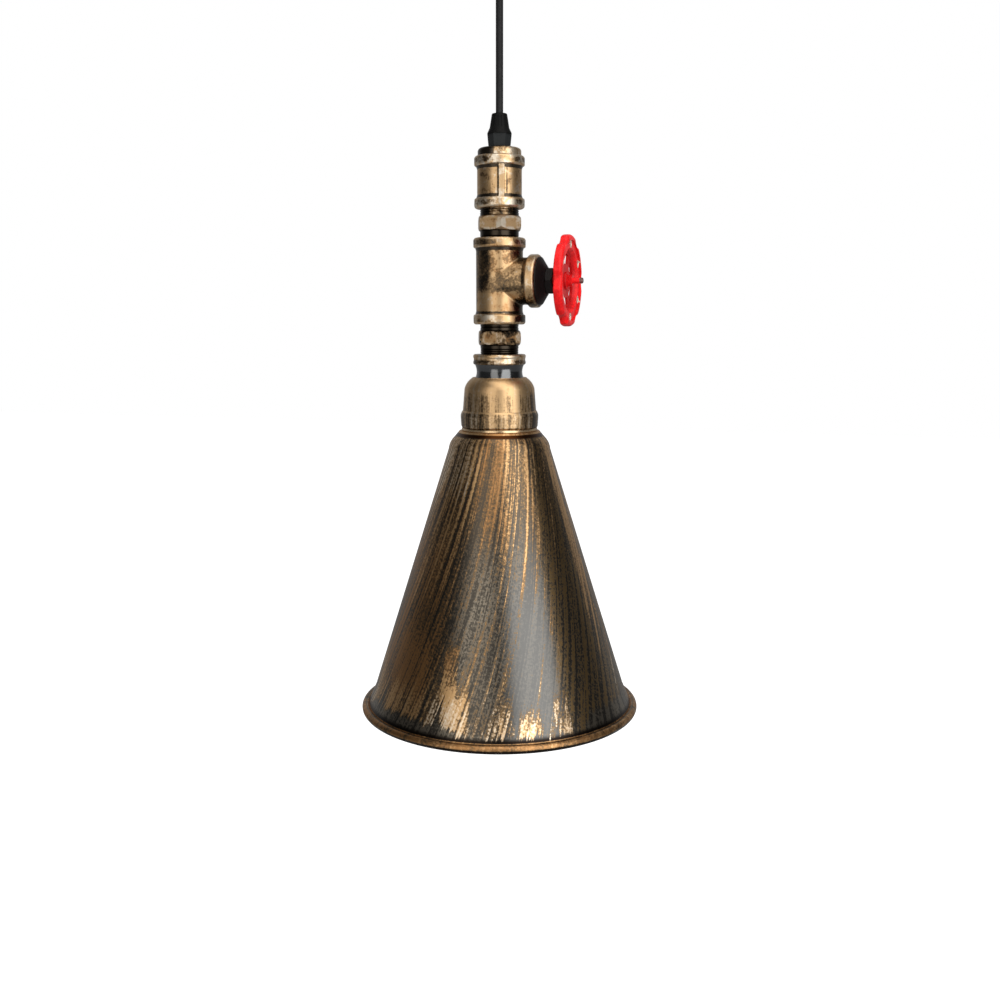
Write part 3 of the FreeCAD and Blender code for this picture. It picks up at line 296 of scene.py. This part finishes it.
# Brushed patches on the shade, by degrees from the camera's side and metres above its rim
SHADE_PATCHES = (
    (46.0, 11.0, 0.115, 0.070, -0.24),
    (50.0, 20.0, 0.040, 0.020, -0.12),
    (17.0, 9.0, 0.060, 0.028, -0.16),
    (18.0, 8.0, 0.140, 0.018, -0.06),
    (-8.0, 8.0, 0.108, 0.016, -0.06),
    (-56.0, 22.0, 0.070, 0.040, 0.18),
    (-50.0, 10.0, 0.034, 0.022, 0.20),
    (66.0, 5.0, 0.125, 0.045, 0.34),
    (-20.0, 5.0, 0.016, 0.013, 0.36),
    (-24.0, 3.0, 0.042, 0.014, 0.26),
    (-5.0, 5.0, 0.010, 0.008, 0.13),
    (3.0, 2.5, 0.014, 0.009, 0.22),
    (13.0, 4.0, 0.009, 0.009, 0.38),
    (28.0, 3.0, 0.019, 0.012, 0.36),
)

# Places on the shade where the tone of its paint changes, in the same measures
SHADE_TONES = (
    (-56.0, 22.0, 0.188, 0.012, 0.30),
    (-8.0, 10.0, 0.180, 0.030, -0.12),
    (-54.0, 16.0, 0.040, 0.035, -0.30),
    (66.0, 8.0, 0.110, 0.060, 0.16),
)

# Where the shade's strokes end higher above its bead: angle, half width, rise in metres
SHADE_FOOT = (
    (-48.0, 22.0, 0.006),
    (60.0, 16.0, 0.010),
)

# Stripes of the shade from top to foot: angle, half width and soft edge, in degrees
GAP_STRIPE = (-12.5, 3.5, 5.0)
FRONT_STRIPE = (-1.0, 27.0, 8.0)
CLEAN_STRIPE = (16.0, 9.0, 8.0)
STRIPE_LEAN = 190.0
STREAK_TWIST = -3.3

# Heights on the shade in metres above its rim, each from nothing to full
FULL_PAINT = (0.085, 0.185)
PALE_PAINT = (0.060, 0.020)
CLEAN_GROUND = (0.160, 0.070)
STROKE_ENDS = (0.0070, 0.0105)
# Painted shade in the crease above the bead
CREASE = (0.0100, 0.0068)
BEAD_FOOT = (0.0018, 0.0032)
BEAD_TOP = (0.0063, 0.0058)
# Painted shade in the collar under the washer ring
COLLAR = (0.1982, 0.1996)
LIP = (0.2009, 0.2013)

# Colours of the shade's ground
VEIL = (0.27, 0.175, 0.078)
WORN_DARK = (0.060, 0.054, 0.046)
WORN_LIGHT = (0.215, 0.188, 0.150)
WORN_TOP = (0.080, 0.064, 0.048)
# Painted shade in the crease above the bead and in the collar under the washer ring
CREASE_SHADE_COLOR = (0.014, 0.010, 0.008)
COLLAR_SHADE_COLOR = (0.045, 0.015, 0.004)

# Cover of the shade's paint: its base, what each place adds, and what each noise adds
SHADE_COVER_BASE = 0.29
TOP_COVER = 0.22
GAP_COVER = -0.03
LIP_COVER = 0.75
BEAD_COVER_BASE = 0.60
SHADE_COVER = {"broad": 0.55, "strands": 1.45, "hairs": 1.20, "speck": 0.90}
BEAD_COVER = {"speck": 0.7, "strands": 0.5, "broad": 0.6}

# Tone of the shade's paint, in the same way
SHADE_TONE_BASE = 0.24
TOP_TONE = 0.10
PALE_TONE = 0.44
BEAD_TONE = -0.42
SHADE_TONE = {"strands": 0.7, "hairs": 0.5, "speck": 0.5}

# Threads in the shade's ground, and how clean it gets
GROUND_THREAD = {"strands": 1.0, "speck": 0.9}
VEIL_STEP = (0.40, 0.62)
WORN_STEP = (0.34, 0.64)
CLEAN_SHARE = 0.8

# How ragged the noises make the shade's patches and the ends of its strokes, in metres
PATCH_RAGGED = {"strands": 0.06, "hairs": 0.05}
STROKE_RAGGED = {"strands": 0.016, "hairs": 0.012}

# Grain of the shade, and the roughness of its bare ground
SHADE_GRAIN = {"speck": 0.5, "hairs": 0.7}
SHADE_GLOSS = 0.30


def shade_noises(s, x, y, z, place):
    """Brush marks of the shade, from broad to fine."""
    return {
        "broad": streaks(s, x, y, z, scale=5.0, squeeze=1.0, twist=STREAK_TWIST),
        "strands": streaks(s, x, y, z, scale=20.0, squeeze=0.4, twist=STREAK_TWIST, detail=4.0),
        "hairs": streaks(s, x, y, z, scale=58.0, squeeze=0.16, twist=STREAK_TWIST),
        "speck": s.noise(place, scale=640.0, detail=2.0),
    }


def shade_ground(s, noises, height, side, top, foot):
    """Ground of the shade: black, clean where lit, veiled brown at the sides, painted shade at collar and
    crease.
    """
    thread = s.total(noises["hairs"], s.mottled(noises, GROUND_THREAD))
    sides = s.inverse(s.patch(side, *FRONT_STRIPE))
    veil = s.product(sides, foot, s.step(thread, *VEIL_STEP))
    clean = s.product(s.patch(side, *CLEAN_STRIPE), s.step(height, *CLEAN_GROUND, 0.0, CLEAN_SHARE))
    worn = s.mix(s.step(thread, *WORN_STEP), WORN_DARK, WORN_LIGHT)
    worn = s.mix(top, worn, WORN_TOP)
    ground = s.mix(veil, s.mix(clean, worn, GROUND), VEIL)
    # Painted shade under the washer ring, then in the crease above the bead
    ground = s.mix(s.step(height, *COLLAR), ground, COLLAR_SHADE_COLOR)
    return s.mix(s.step(height, *CREASE), ground, CREASE_SHADE_COLOR)


def shade_material():
    """Shade: gold brushed down it over gloss black, full at the top, jagged strokes at the foot."""
    made, s = material("bronze_shade")
    x, y, z, place = s.place()
    height = s.math("SUBTRACT", z, RIM_Z)
    side = s.facing(x, y)
    noises = shade_noises(s, x, y, z, place)
    lean = s.math("MULTIPLY_ADD", height, -STRIPE_LEAN, side)
    top = s.step(height, *FULL_PAINT)
    ragged = s.total(height, s.mottled(noises, PATCH_RAGGED))
    patches = [spot(s, side, ragged, patch) for patch in SHADE_PATCHES]
    tones = [spot(s, side, ragged, patch) for patch in SHADE_TONES]
    rises = [s.product(stripe(s, side, angle, half), -rise) for angle, half, rise in SHADE_FOOT]
    foot = s.step(s.total(height, *rises, s.mottled(noises, STROKE_RAGGED)), *STROKE_ENDS)
    bead = s.product(s.step(height, *BEAD_TOP), s.step(height, *BEAD_FOOT))
    cover = s.total(
        SHADE_COVER_BASE,
        s.product(top, TOP_COVER),
        s.product(s.patch(lean, *GAP_STRIPE), GAP_COVER),
        s.mottled(noises, SHADE_COVER),
        *patches,
    )
    tone = s.total(
        SHADE_TONE_BASE,
        s.product(top, TOP_TONE),
        s.product(s.step(height, *PALE_PAINT), PALE_TONE),
        s.product(bead, BEAD_TONE),
        s.mottled(noises, SHADE_TONE),
        *tones,
    )
    on_bead = s.product(bead, s.total(BEAD_COVER_BASE, s.mottled(noises, BEAD_COVER)))
    on_lip = s.product(s.step(height, *LIP), LIP_COVER)
    # No paint on the collar, so its painted shade shows
    under_collar = s.inverse(s.step(height, *COLLAR))
    cover = s.math("MAXIMUM", s.product(cover, foot), on_bead)
    cover = s.math("MAXIMUM", s.product(cover, under_collar), on_lip)
    grain = s.mottled(noises, SHADE_GRAIN)
    ground = shade_ground(s, noises, height, side, top, foot)
    bronze_surface(s, cover, tone, grain, ground, gloss=SHADE_GLOSS)
    return made


# Height of the branch's middle
BRANCH_Z = -0.24235

# Radii over which each fitting rises from its necks to its bands
SOCKET_RISE = (0.0156, 0.0166)
TEE_RISE = (0.0164, 0.0174)
NIPPLE_RISE = (0.0136, 0.0143)
COLLAR_RISE = (0.0172, 0.0181)
PLUG_RISE = (0.0080, 0.0140)

# The tee's bands, by height from the branch and by distance along it
TEE_BODY_BANDS = (0.019, 0.021)
TEE_BRANCH_BAND = (0.0200, 0.0215)

# Patches and copper blushes on the fittings, by degrees from the camera's side and metres above the branch
SOCKET_PATCHES_AND_RIB_SHADE = (
    # The first two are painted shade at the sides of the socket's rib
    (-3.4, 1.8, 0.0664, 0.0070, -0.50),
    (19.0, 1.4, 0.0664, 0.0070, -0.25),
    (8.0, 8.0, 0.0664, 0.0080, 0.06),
)
TEE_PATCHES = (
    (6.0, 26.0, 0.0140, 0.0070, 0.20),
    (-14.0, 44.0, -0.0170, 0.0060, 0.40),
    (-50.0, 16.0, 0.0090, 0.0100, -0.03),
    (60.0, 20.0, -0.0190, 0.0070, -0.26),
)
UPPER_NECK_HIGHLIGHT = (
    # Painted highlight: paint across the front of the upper nipple's neck, where it takes the light
    (4.0, 34.0, 0.0475, 0.0030, 0.42),
)
PLUG_LEFT_SHADE = (
    # Painted shade: less paint on the plug's left side, away from the light
    (-55.0, 30.0, 0.0860, 0.0040, -0.55),
)
TEE_BLUSHES = (
    (-40.0, 20.0, -0.0170, 0.0060, 0.14),
)
UPPER_BLUSHES = (
    (-27.0, 13.0, 0.0390, 0.0020, -0.26),
    (33.0, 13.0, 0.0390, 0.0020, -0.26),
)
LOWER_BLUSHES = (
    (-27.0, 13.0, -0.0387, 0.0020, -0.40),
    (33.0, 13.0, -0.0387, 0.0020, -0.40),
)

# Heights of the painted shade and grime in the corners beside the bands, and of the painted shade on the
# middles of the bands, and what they take away
SOCKET_SHADE_AND_GRIME = (-0.1661, -0.1857)
SOCKET_BAND_SHADE = (-0.1618, -0.1900)
TEE_SHADE_AND_GRIME = (-0.2206, -0.2641)
TEE_BAND_SHADE = (-0.2163, -0.2683)
COLLAR_BAND_SHADE = (-0.2979,)
CORNER_HALF = 0.0008
CORNER_COVER = -0.55
BAND_SHADE_HALF = 0.0011
BAND_SHADE_COVER = -0.27

# Castings: lit side, where the bands' middles take no painted shade, by angle, half width and soft edge, and
# the noises' weights
CAST_LIT_SIDE = (14.0, 14.0, 14.0)
CAST_BAND_TONE = 0.2
CAST_FINE_COVER = 0.6
CAST_TONE = {"blot": 1.3, "fine": 0.5}
CAST_GRAIN = {"fine": 0.8}

# Brushed caps: lit side, where more paint is a painted highlight, in the same way, and the noises' weights
CAP_LIT_SIDE = (6.0, 20.0, 20.0)
CAP_HIGHLIGHT_COVER = 0.16
CAP_COVER = {"strands": 1.2, "hairs": 0.6, "fine": 0.5}
CAP_TONE = {"strands": 1.0, "fine": 0.4}
CAP_GRAIN = {"fine": 0.5}
CAP_GLOSS = 0.24


def outside(inner, outer):
    """Where a fitting on the lamp's axis stands out, from one radius to another."""
    return lambda s, x, y, z: s.step(s.distance(x, y), inner, outer)


def tee_raised(s, x, y, z):
    """The tee's three bands."""
    above = s.math("SUBTRACT", z, BRANCH_Z)
    body = s.product(s.step(s.distance(x, y), *TEE_RISE), s.step(s.math("ABSOLUTE", above), *TEE_BODY_BANDS))
    branch = s.product(s.step(s.distance(above, y), *TEE_RISE), s.step(x, *TEE_BRANCH_BAND))
    return s.math("MAXIMUM", body, branch)


def fitting(name, raised, base, lift, tone, mottle=0.9, ground=DEEP, patches=(), blushes=(), corner_shade_and_grime=(),
            band_shade=()):
    """Cast fitting: mottled, rubbed bright where it stands out, patched, with copper blushes, with painted
    shade and grime in its corners at the given heights, and painted shade on the middles of its bands away
    from the lit side."""
    made, s = material(name)
    x, y, z, place = s.place()
    high = raised(s, x, y, z)
    low = s.inverse(high)
    noises = {"blot": s.noise(place, scale=130.0, distortion=0.6), "fine": s.noise(place, scale=700.0)}
    side = s.facing(x, y)
    level = s.math("SUBTRACT", z, BRANCH_Z)
    unlit_side = s.inverse(s.patch(side, *CAST_LIT_SIDE))
    spots = [spot(s, side, level, patch) for patch in patches]
    # Painted shade and grime: dark lines on the panels in the corners beside the bands
    for corner in corner_shade_and_grime:
        spots.append(s.product(s.patch(z, corner, CORNER_HALF, CORNER_HALF), low, CORNER_COVER))
    # Painted shade on the middles of the bands, away from the lit side
    for shaded_band in band_shade:
        spots.append(s.product(s.patch(z, shaded_band, BAND_SHADE_HALF, BAND_SHADE_HALF), unlit_side, BAND_SHADE_COVER))
    tints = [spot(s, side, level, patch) for patch in blushes]
    mottling = s.mottled(noises, {"blot": mottle, "fine": CAST_FINE_COVER})
    cover = s.total(base, s.product(high, lift), mottling, *spots)
    shade = s.total(tone, s.product(high, CAST_BAND_TONE), s.mottled(noises, CAST_TONE), *tints)
    grain = s.mottled(noises, CAST_GRAIN)
    bronze_surface(s, cover, shade, grain, ground, gold=CAST_GOLD, cream=CAST_CREAM)
    return made


def brushed(name, base, lift, tone, thin_z, full_z, ground=DEEP):
    """Turned cap: paint brushed down it, thin at one height and full at another, with more on the lit side
    as a painted highlight.
    """
    made, s = material(name)
    x, y, z, place = s.place()
    noises = {
        "strands": streaks(s, x, y, z, scale=7.0, squeeze=1.5, detail=4.0),
        "hairs": streaks(s, x, y, z, scale=40.0, squeeze=0.7),
        "fine": s.noise(place, scale=700.0),
    }
    full = s.product(s.step(z, thin_z, full_z), lift)
    # Painted highlight: more paint on the lit side
    painted_highlight = s.product(s.patch(s.facing(x, y), *CAP_LIT_SIDE), CAP_HIGHLIGHT_COVER)
    cover = s.total(base, full, painted_highlight, s.mottled(noises, CAP_COVER))
    shade = s.total(tone, s.mottled(noises, CAP_TONE))
    grain = s.mottled(noises, CAP_GRAIN)
    bronze_surface(s, cover, shade, grain, ground, gloss=CAP_GLOSS, gold=CAST_GOLD, cream=CAST_CREAM)
    return made


# Handwheel and spindle: colours, and places by radius from the branch's axis and distance along it
RED = (0.80, 0.012, 0.014)
DARK_RED = (0.30, 0.003, 0.004)
HOLE_METAL = (0.80, 0.68, 0.58)
TIP_METAL = (0.24, 0.14, 0.13)
LOBE_TURN = math.radians(60.0)
LOBE_HOLE_CIRCLE = 0.0244
LOBE_HOLE_EDGE = 0.0026
LOBE_HOLE_SOFT = 0.0001
LOBE_HOLE_METALLIC = 0.6
# Painted shade in the dish: radii and depths over which it comes in, and how dark
DISH_RADIUS = (0.0212, 0.0195)
DISH_DEPTH = (0.0504, 0.0485)
DISH_SHADE = 0.6
WORN_RED = (0.35, 0.60)
WORN_RED_LEAST = 0.55
WORN_RED_BLOT = 0.5
SPINDLE_TIP_X = 0.0572
SPINDLE_TIP_SOFT = 0.0003
SPINDLE_TIP_RAGGED = 0.001


def wheel_material():
    """Handwheel: glossy red, with painted shade in its dish, bare metal in the holes of its lobes."""
    made, s = material("red_wheel")
    x, y, z, place = s.place()
    up = s.math("SUBTRACT", z, BRANCH_Z)
    radius = s.distance(y, up)
    angle = s.math("ARCTAN2", y, up)
    folded = s.math("WRAP", angle, LOBE_TURN / 2, -LOBE_TURN / 2)
    along = s.product(radius, s.math("COSINE", folded))
    across = s.product(radius, s.math("SINE", folded))
    hole = s.distance(s.math("SUBTRACT", along, LOBE_HOLE_CIRCLE), across)
    bare = s.step(hole, LOBE_HOLE_EDGE + LOBE_HOLE_SOFT, LOBE_HOLE_EDGE)
    blot = s.noise(place, scale=60.0)
    fine = s.noise(place, scale=300.0)
    # Painted shade: darker red in the dish
    dish_shade = s.product(s.step(radius, *DISH_RADIUS), s.step(x, *DISH_DEPTH), DISH_SHADE)
    worn = s.step(s.total(fine, s.scaled(blot, WORN_RED_BLOT)), *WORN_RED, WORN_RED_LEAST, 1.0)
    paint = s.mix(dish_shade, s.mix(worn, DARK_RED, RED), DARK_RED)
    color = s.mix(bare, paint, HOLE_METAL)
    s.surface(Base_Color=color, Metallic=s.product(bare, LOBE_HOLE_METALLIC), Roughness=0.36,
              Specular_IOR_Level=0.16, Normal=s.bump(fine, distance=0.00010))
    return made


def spindle_material():
    """Spindle: painted with the wheel, bare and brown at its tip."""
    made, s = material("spindle")
    x, _, _, place = s.place()
    fine = s.noise(place, scale=600.0)
    ragged = s.total(x, s.scaled(fine, SPINDLE_TIP_RAGGED))
    bare = s.step(ragged, SPINDLE_TIP_X - SPINDLE_TIP_SOFT, SPINDLE_TIP_X + SPINDLE_TIP_SOFT)
    color = s.mix(bare, RED, TIP_METAL)
    s.surface(Base_Color=color, Metallic=bare, Roughness=0.42, Specular_IOR_Level=0.25,
              Normal=s.bump(fine, distance=0.00004))
    return made


# Bronze pieces, from the shade up
dress(shade_material(), "shade")
dress(fitting("bronze_socket", outside(*SOCKET_RISE), base=0.66, lift=0.10, tone=0.54,
              patches=SOCKET_PATCHES_AND_RIB_SHADE, corner_shade_and_grime=SOCKET_SHADE_AND_GRIME, band_shade=SOCKET_BAND_SHADE), "banded_socket")
dress(fitting("bronze_tee", tee_raised, base=0.42, lift=0.28, tone=0.44, patches=TEE_PATCHES,
              blushes=TEE_BLUSHES, corner_shade_and_grime=TEE_SHADE_AND_GRIME, band_shade=TEE_BAND_SHADE), "pipe_tee")
dress(fitting("bronze_upper_nipple", outside(*NIPPLE_RISE), base=-0.04, lift=0.74, tone=0.54, ground=IRON,
              patches=UPPER_NECK_HIGHLIGHT, blushes=UPPER_BLUSHES), "upper_nipple")
dress(fitting("bronze_lower_nipple", outside(*NIPPLE_RISE), base=-0.14, lift=0.72, tone=0.46, mottle=2.4,
              ground=IRON, blushes=LOWER_BLUSHES), "lower_nipple")
dress(fitting("bronze_collar", outside(*COLLAR_RISE), base=0.38, lift=0.28, tone=0.46,
              band_shade=COLLAR_BAND_SHADE), "neck_collar")
dress(fitting("bronze_plug", outside(*PLUG_RISE), base=0.22, lift=0.42, tone=0.48,
              patches=PLUG_LEFT_SHADE), "pipe_plug")
dress(brushed("bronze_cap", base=0.50, lift=0.24, tone=0.56, thin_z=-0.3230, full_z=-0.3150), "holder_cap")
dress(brushed("bronze_skirt", base=0.43, lift=0.30, tone=0.62, thin_z=-0.3331, full_z=-0.3319),
      "holder_skirt", "shade_clamp_ring")
dress(brushed("bronze_canopy", base=0.50, lift=0.0, tone=0.30, thin_z=-0.0300, full_z=0.0, ground=GROUND),
      "ceiling_canopy")

# Other metal, black and grips
dress(plain("bright_ring", (0.62, 0.45, 0.27), roughness=0.25, metallic=1.0), "shade_washer")
dress(plain("gloss_black", (0.15, 0.155, 0.16), roughness=0.16, metallic=1.0), "black_neck")
dress(plain("matte_black", (0.006, 0.004, 0.004), roughness=0.5, Specular_IOR_Level=0.2),
      "valve_bonnet", "packing_nut")
dress(plain("dark_grip", (0.012, 0.014, 0.015), roughness=0.45, Specular_IOR_Level=0.20),
      "lamp_grip_body", "ceiling_grip_body")
dress(plain("dark_nut", (0.005, 0.005, 0.005), roughness=0.50, Specular_IOR_Level=0.08),
      "lamp_grip_nut", "ceiling_grip_nut")
dress(plain("steel", (0.58, 0.58, 0.57), roughness=0.3, metallic=1.0),
      "ceiling_bracket", "canopy_screws", "block_screw", "ceiling_grip_locknut", "lamp_grip_locknut",
      "threaded_tube", "tube_locknuts", "spindle_clip")

# Wires, lampholder and bulb
dress(plain("cord_sheath", CORD_COLOR, CORD_ROUGHNESS, Specular_IOR_Level=CORD_SPECULAR),
      "ceiling_lead", "lamp_lead")
dress(plain("wire_insulation", (0.30, 0.16, 0.08), roughness=0.5), "ceiling_wires", "lamp_wires")
dress(plain("white_plastic", (0.80, 0.80, 0.78), roughness=0.5, vary=0.06), "terminal_block")
dress(plain("brass", (0.80, 0.60, 0.28), roughness=0.3, metallic=1.0),
      "terminal_screws", "holder_screws", "holder_sleeve", "centre_contact", "bulb_contact", "bulb_cap")
dress(plain("porcelain", (0.82, 0.81, 0.77), roughness=0.2, vary=0.05), "holder_core")

# Handwheel and its parts
dress(wheel_material(), "handwheel")
dress(plain("red_enamel", RED, roughness=0.34, vary=0.30, scale=300.0, Specular_IOR_Level=0.2),
      "wheel_nut", "wheel_washer")
dress(spindle_material(), "valve_spindle")

# Inside of the bulb, and its glass
dress(plain("filament_metal", (0.75, 0.75, 0.75), roughness=0.3, metallic=1.0), "filament_frame")
dress(plain("filament", (0.90, 0.72, 0.30), roughness=0.5), "bulb_filaments")
dress(plain("clear_glass", (0.97, 0.97, 0.97), roughness=0.03, vary=0.02, bump=0.00001,
            Transmission_Weight=1.0, IOR=1.45), "bulb_glass", "bulb_stem")


# Pale floor far below, and a white room
FLOOR_Z = -2.2
FLOOR_SIZE = 40.0
FLOOR_COLOR = (0.8, 0.8, 0.8)
ROOM_COLOR = (1.0, 1.0, 1.0)
ROOM_LIGHT = 0.35
BACKDROP_TURN = (0.25, 0.75)
BACKDROP_GLOSS = (0.08, 0.40)


def background_rays(s):
    """One on rays that show the background, straight or through glass, and one on glossy rays."""
    rays = s.node("ShaderNodeLightPath").outputs
    return s.math("MAXIMUM", rays["Is Camera Ray"], rays["Is Transmission Ray"]), rays["Is Glossy Ray"]


bpy.ops.mesh.primitive_plane_add(size=FLOOR_SIZE, location=(0.0, 0.0, FLOOR_Z))
floor = bpy.context.object
floor.name = "floor"
floor_material, s = material("pale_floor")
shown, _ = background_rays(s)
diffuse = s.node("ShaderNodeBsdfDiffuse", {0: FLOOR_COLOR})
glow = s.node("ShaderNodeEmission", {"Strength": shown})
both = s.node("ShaderNodeAddShader", {0: diffuse.outputs[0], 1: glow.outputs[0]})
s.node("ShaderNodeOutputMaterial", {0: both.outputs[0]})
floor.data.materials.append(floor_material)

world = bpy.data.worlds.new("room")
bpy.context.scene.world = world
world.use_nodes = True
s = Shader(world.node_tree)
shown, glossy = background_rays(s)
direction = s.node("ShaderNodeTexCoord").outputs["Generated"]
away = tuple(-part for part in TO_CAMERA)
behind = s.node("ShaderNodeVectorMath", {0: direction, 1: away}, operation="DOT_PRODUCT").outputs["Value"]
backdrop = s.step(behind, *BACKDROP_TURN, *BACKDROP_GLOSS)
other = s.inverse(s.math("MINIMUM", s.total(shown, glossy), 1.0))
strength = s.total(s.math("MAXIMUM", shown, s.product(glossy, backdrop)), s.product(other, ROOM_LIGHT))
background = s.node("ShaderNodeBackground", {0: ROOM_COLOR, "Strength": strength})
s.node("ShaderNodeOutputWorld", {0: background.outputs[0]})


# Three soft lights, aimed at the middle of the lamp
AIM = Vector((0.0, 0.0, -0.35))
WARM_WHITE = (1.0, 0.96, 0.90)
NEAR_WHITE = (1.0, 0.99, 0.97)


def softbox(name, turn, rise, distance, width, height, radiance, color):
    """Soft light that faces the lamp; turn is to the right of the camera as the lamp is seen."""
    to_camera = Vector(TO_CAMERA)
    right = Vector((math.cos(CAMERA_AZIMUTH), math.sin(CAMERA_AZIMUTH), 0.0))
    turn = math.radians(turn)
    rise = math.radians(rise)
    flat = to_camera * math.cos(turn) + right * math.sin(turn)
    ray = flat * math.cos(rise) + Vector((0.0, 0.0, math.sin(rise)))
    light = bpy.data.lights.new(name, "AREA")
    light.shape = "RECTANGLE"
    light.size = width
    light.size_y = height
    light.energy = radiance * width * height * math.pi
    light.color = color
    lamp = bpy.data.objects.new(name, light)
    lamp.location = AIM + ray * distance
    lamp.rotation_euler = ray.to_track_quat("Z", "Y").to_euler()
    bpy.context.scene.collection.objects.link(lamp)


softbox("box_left", turn=-26.0, rise=12.0, distance=1.3, width=0.80, height=1.7, radiance=1.65,
        color=WARM_WHITE)
softbox("box_right", turn=34.0, rise=14.0, distance=1.3, width=1.05, height=1.8, radiance=3.0,
        color=NEAR_WHITE)
softbox("box_top", turn=20.0, rise=70.0, distance=1.4, width=1.2, height=1.2, radiance=2.4,
        color=WARM_WHITE)
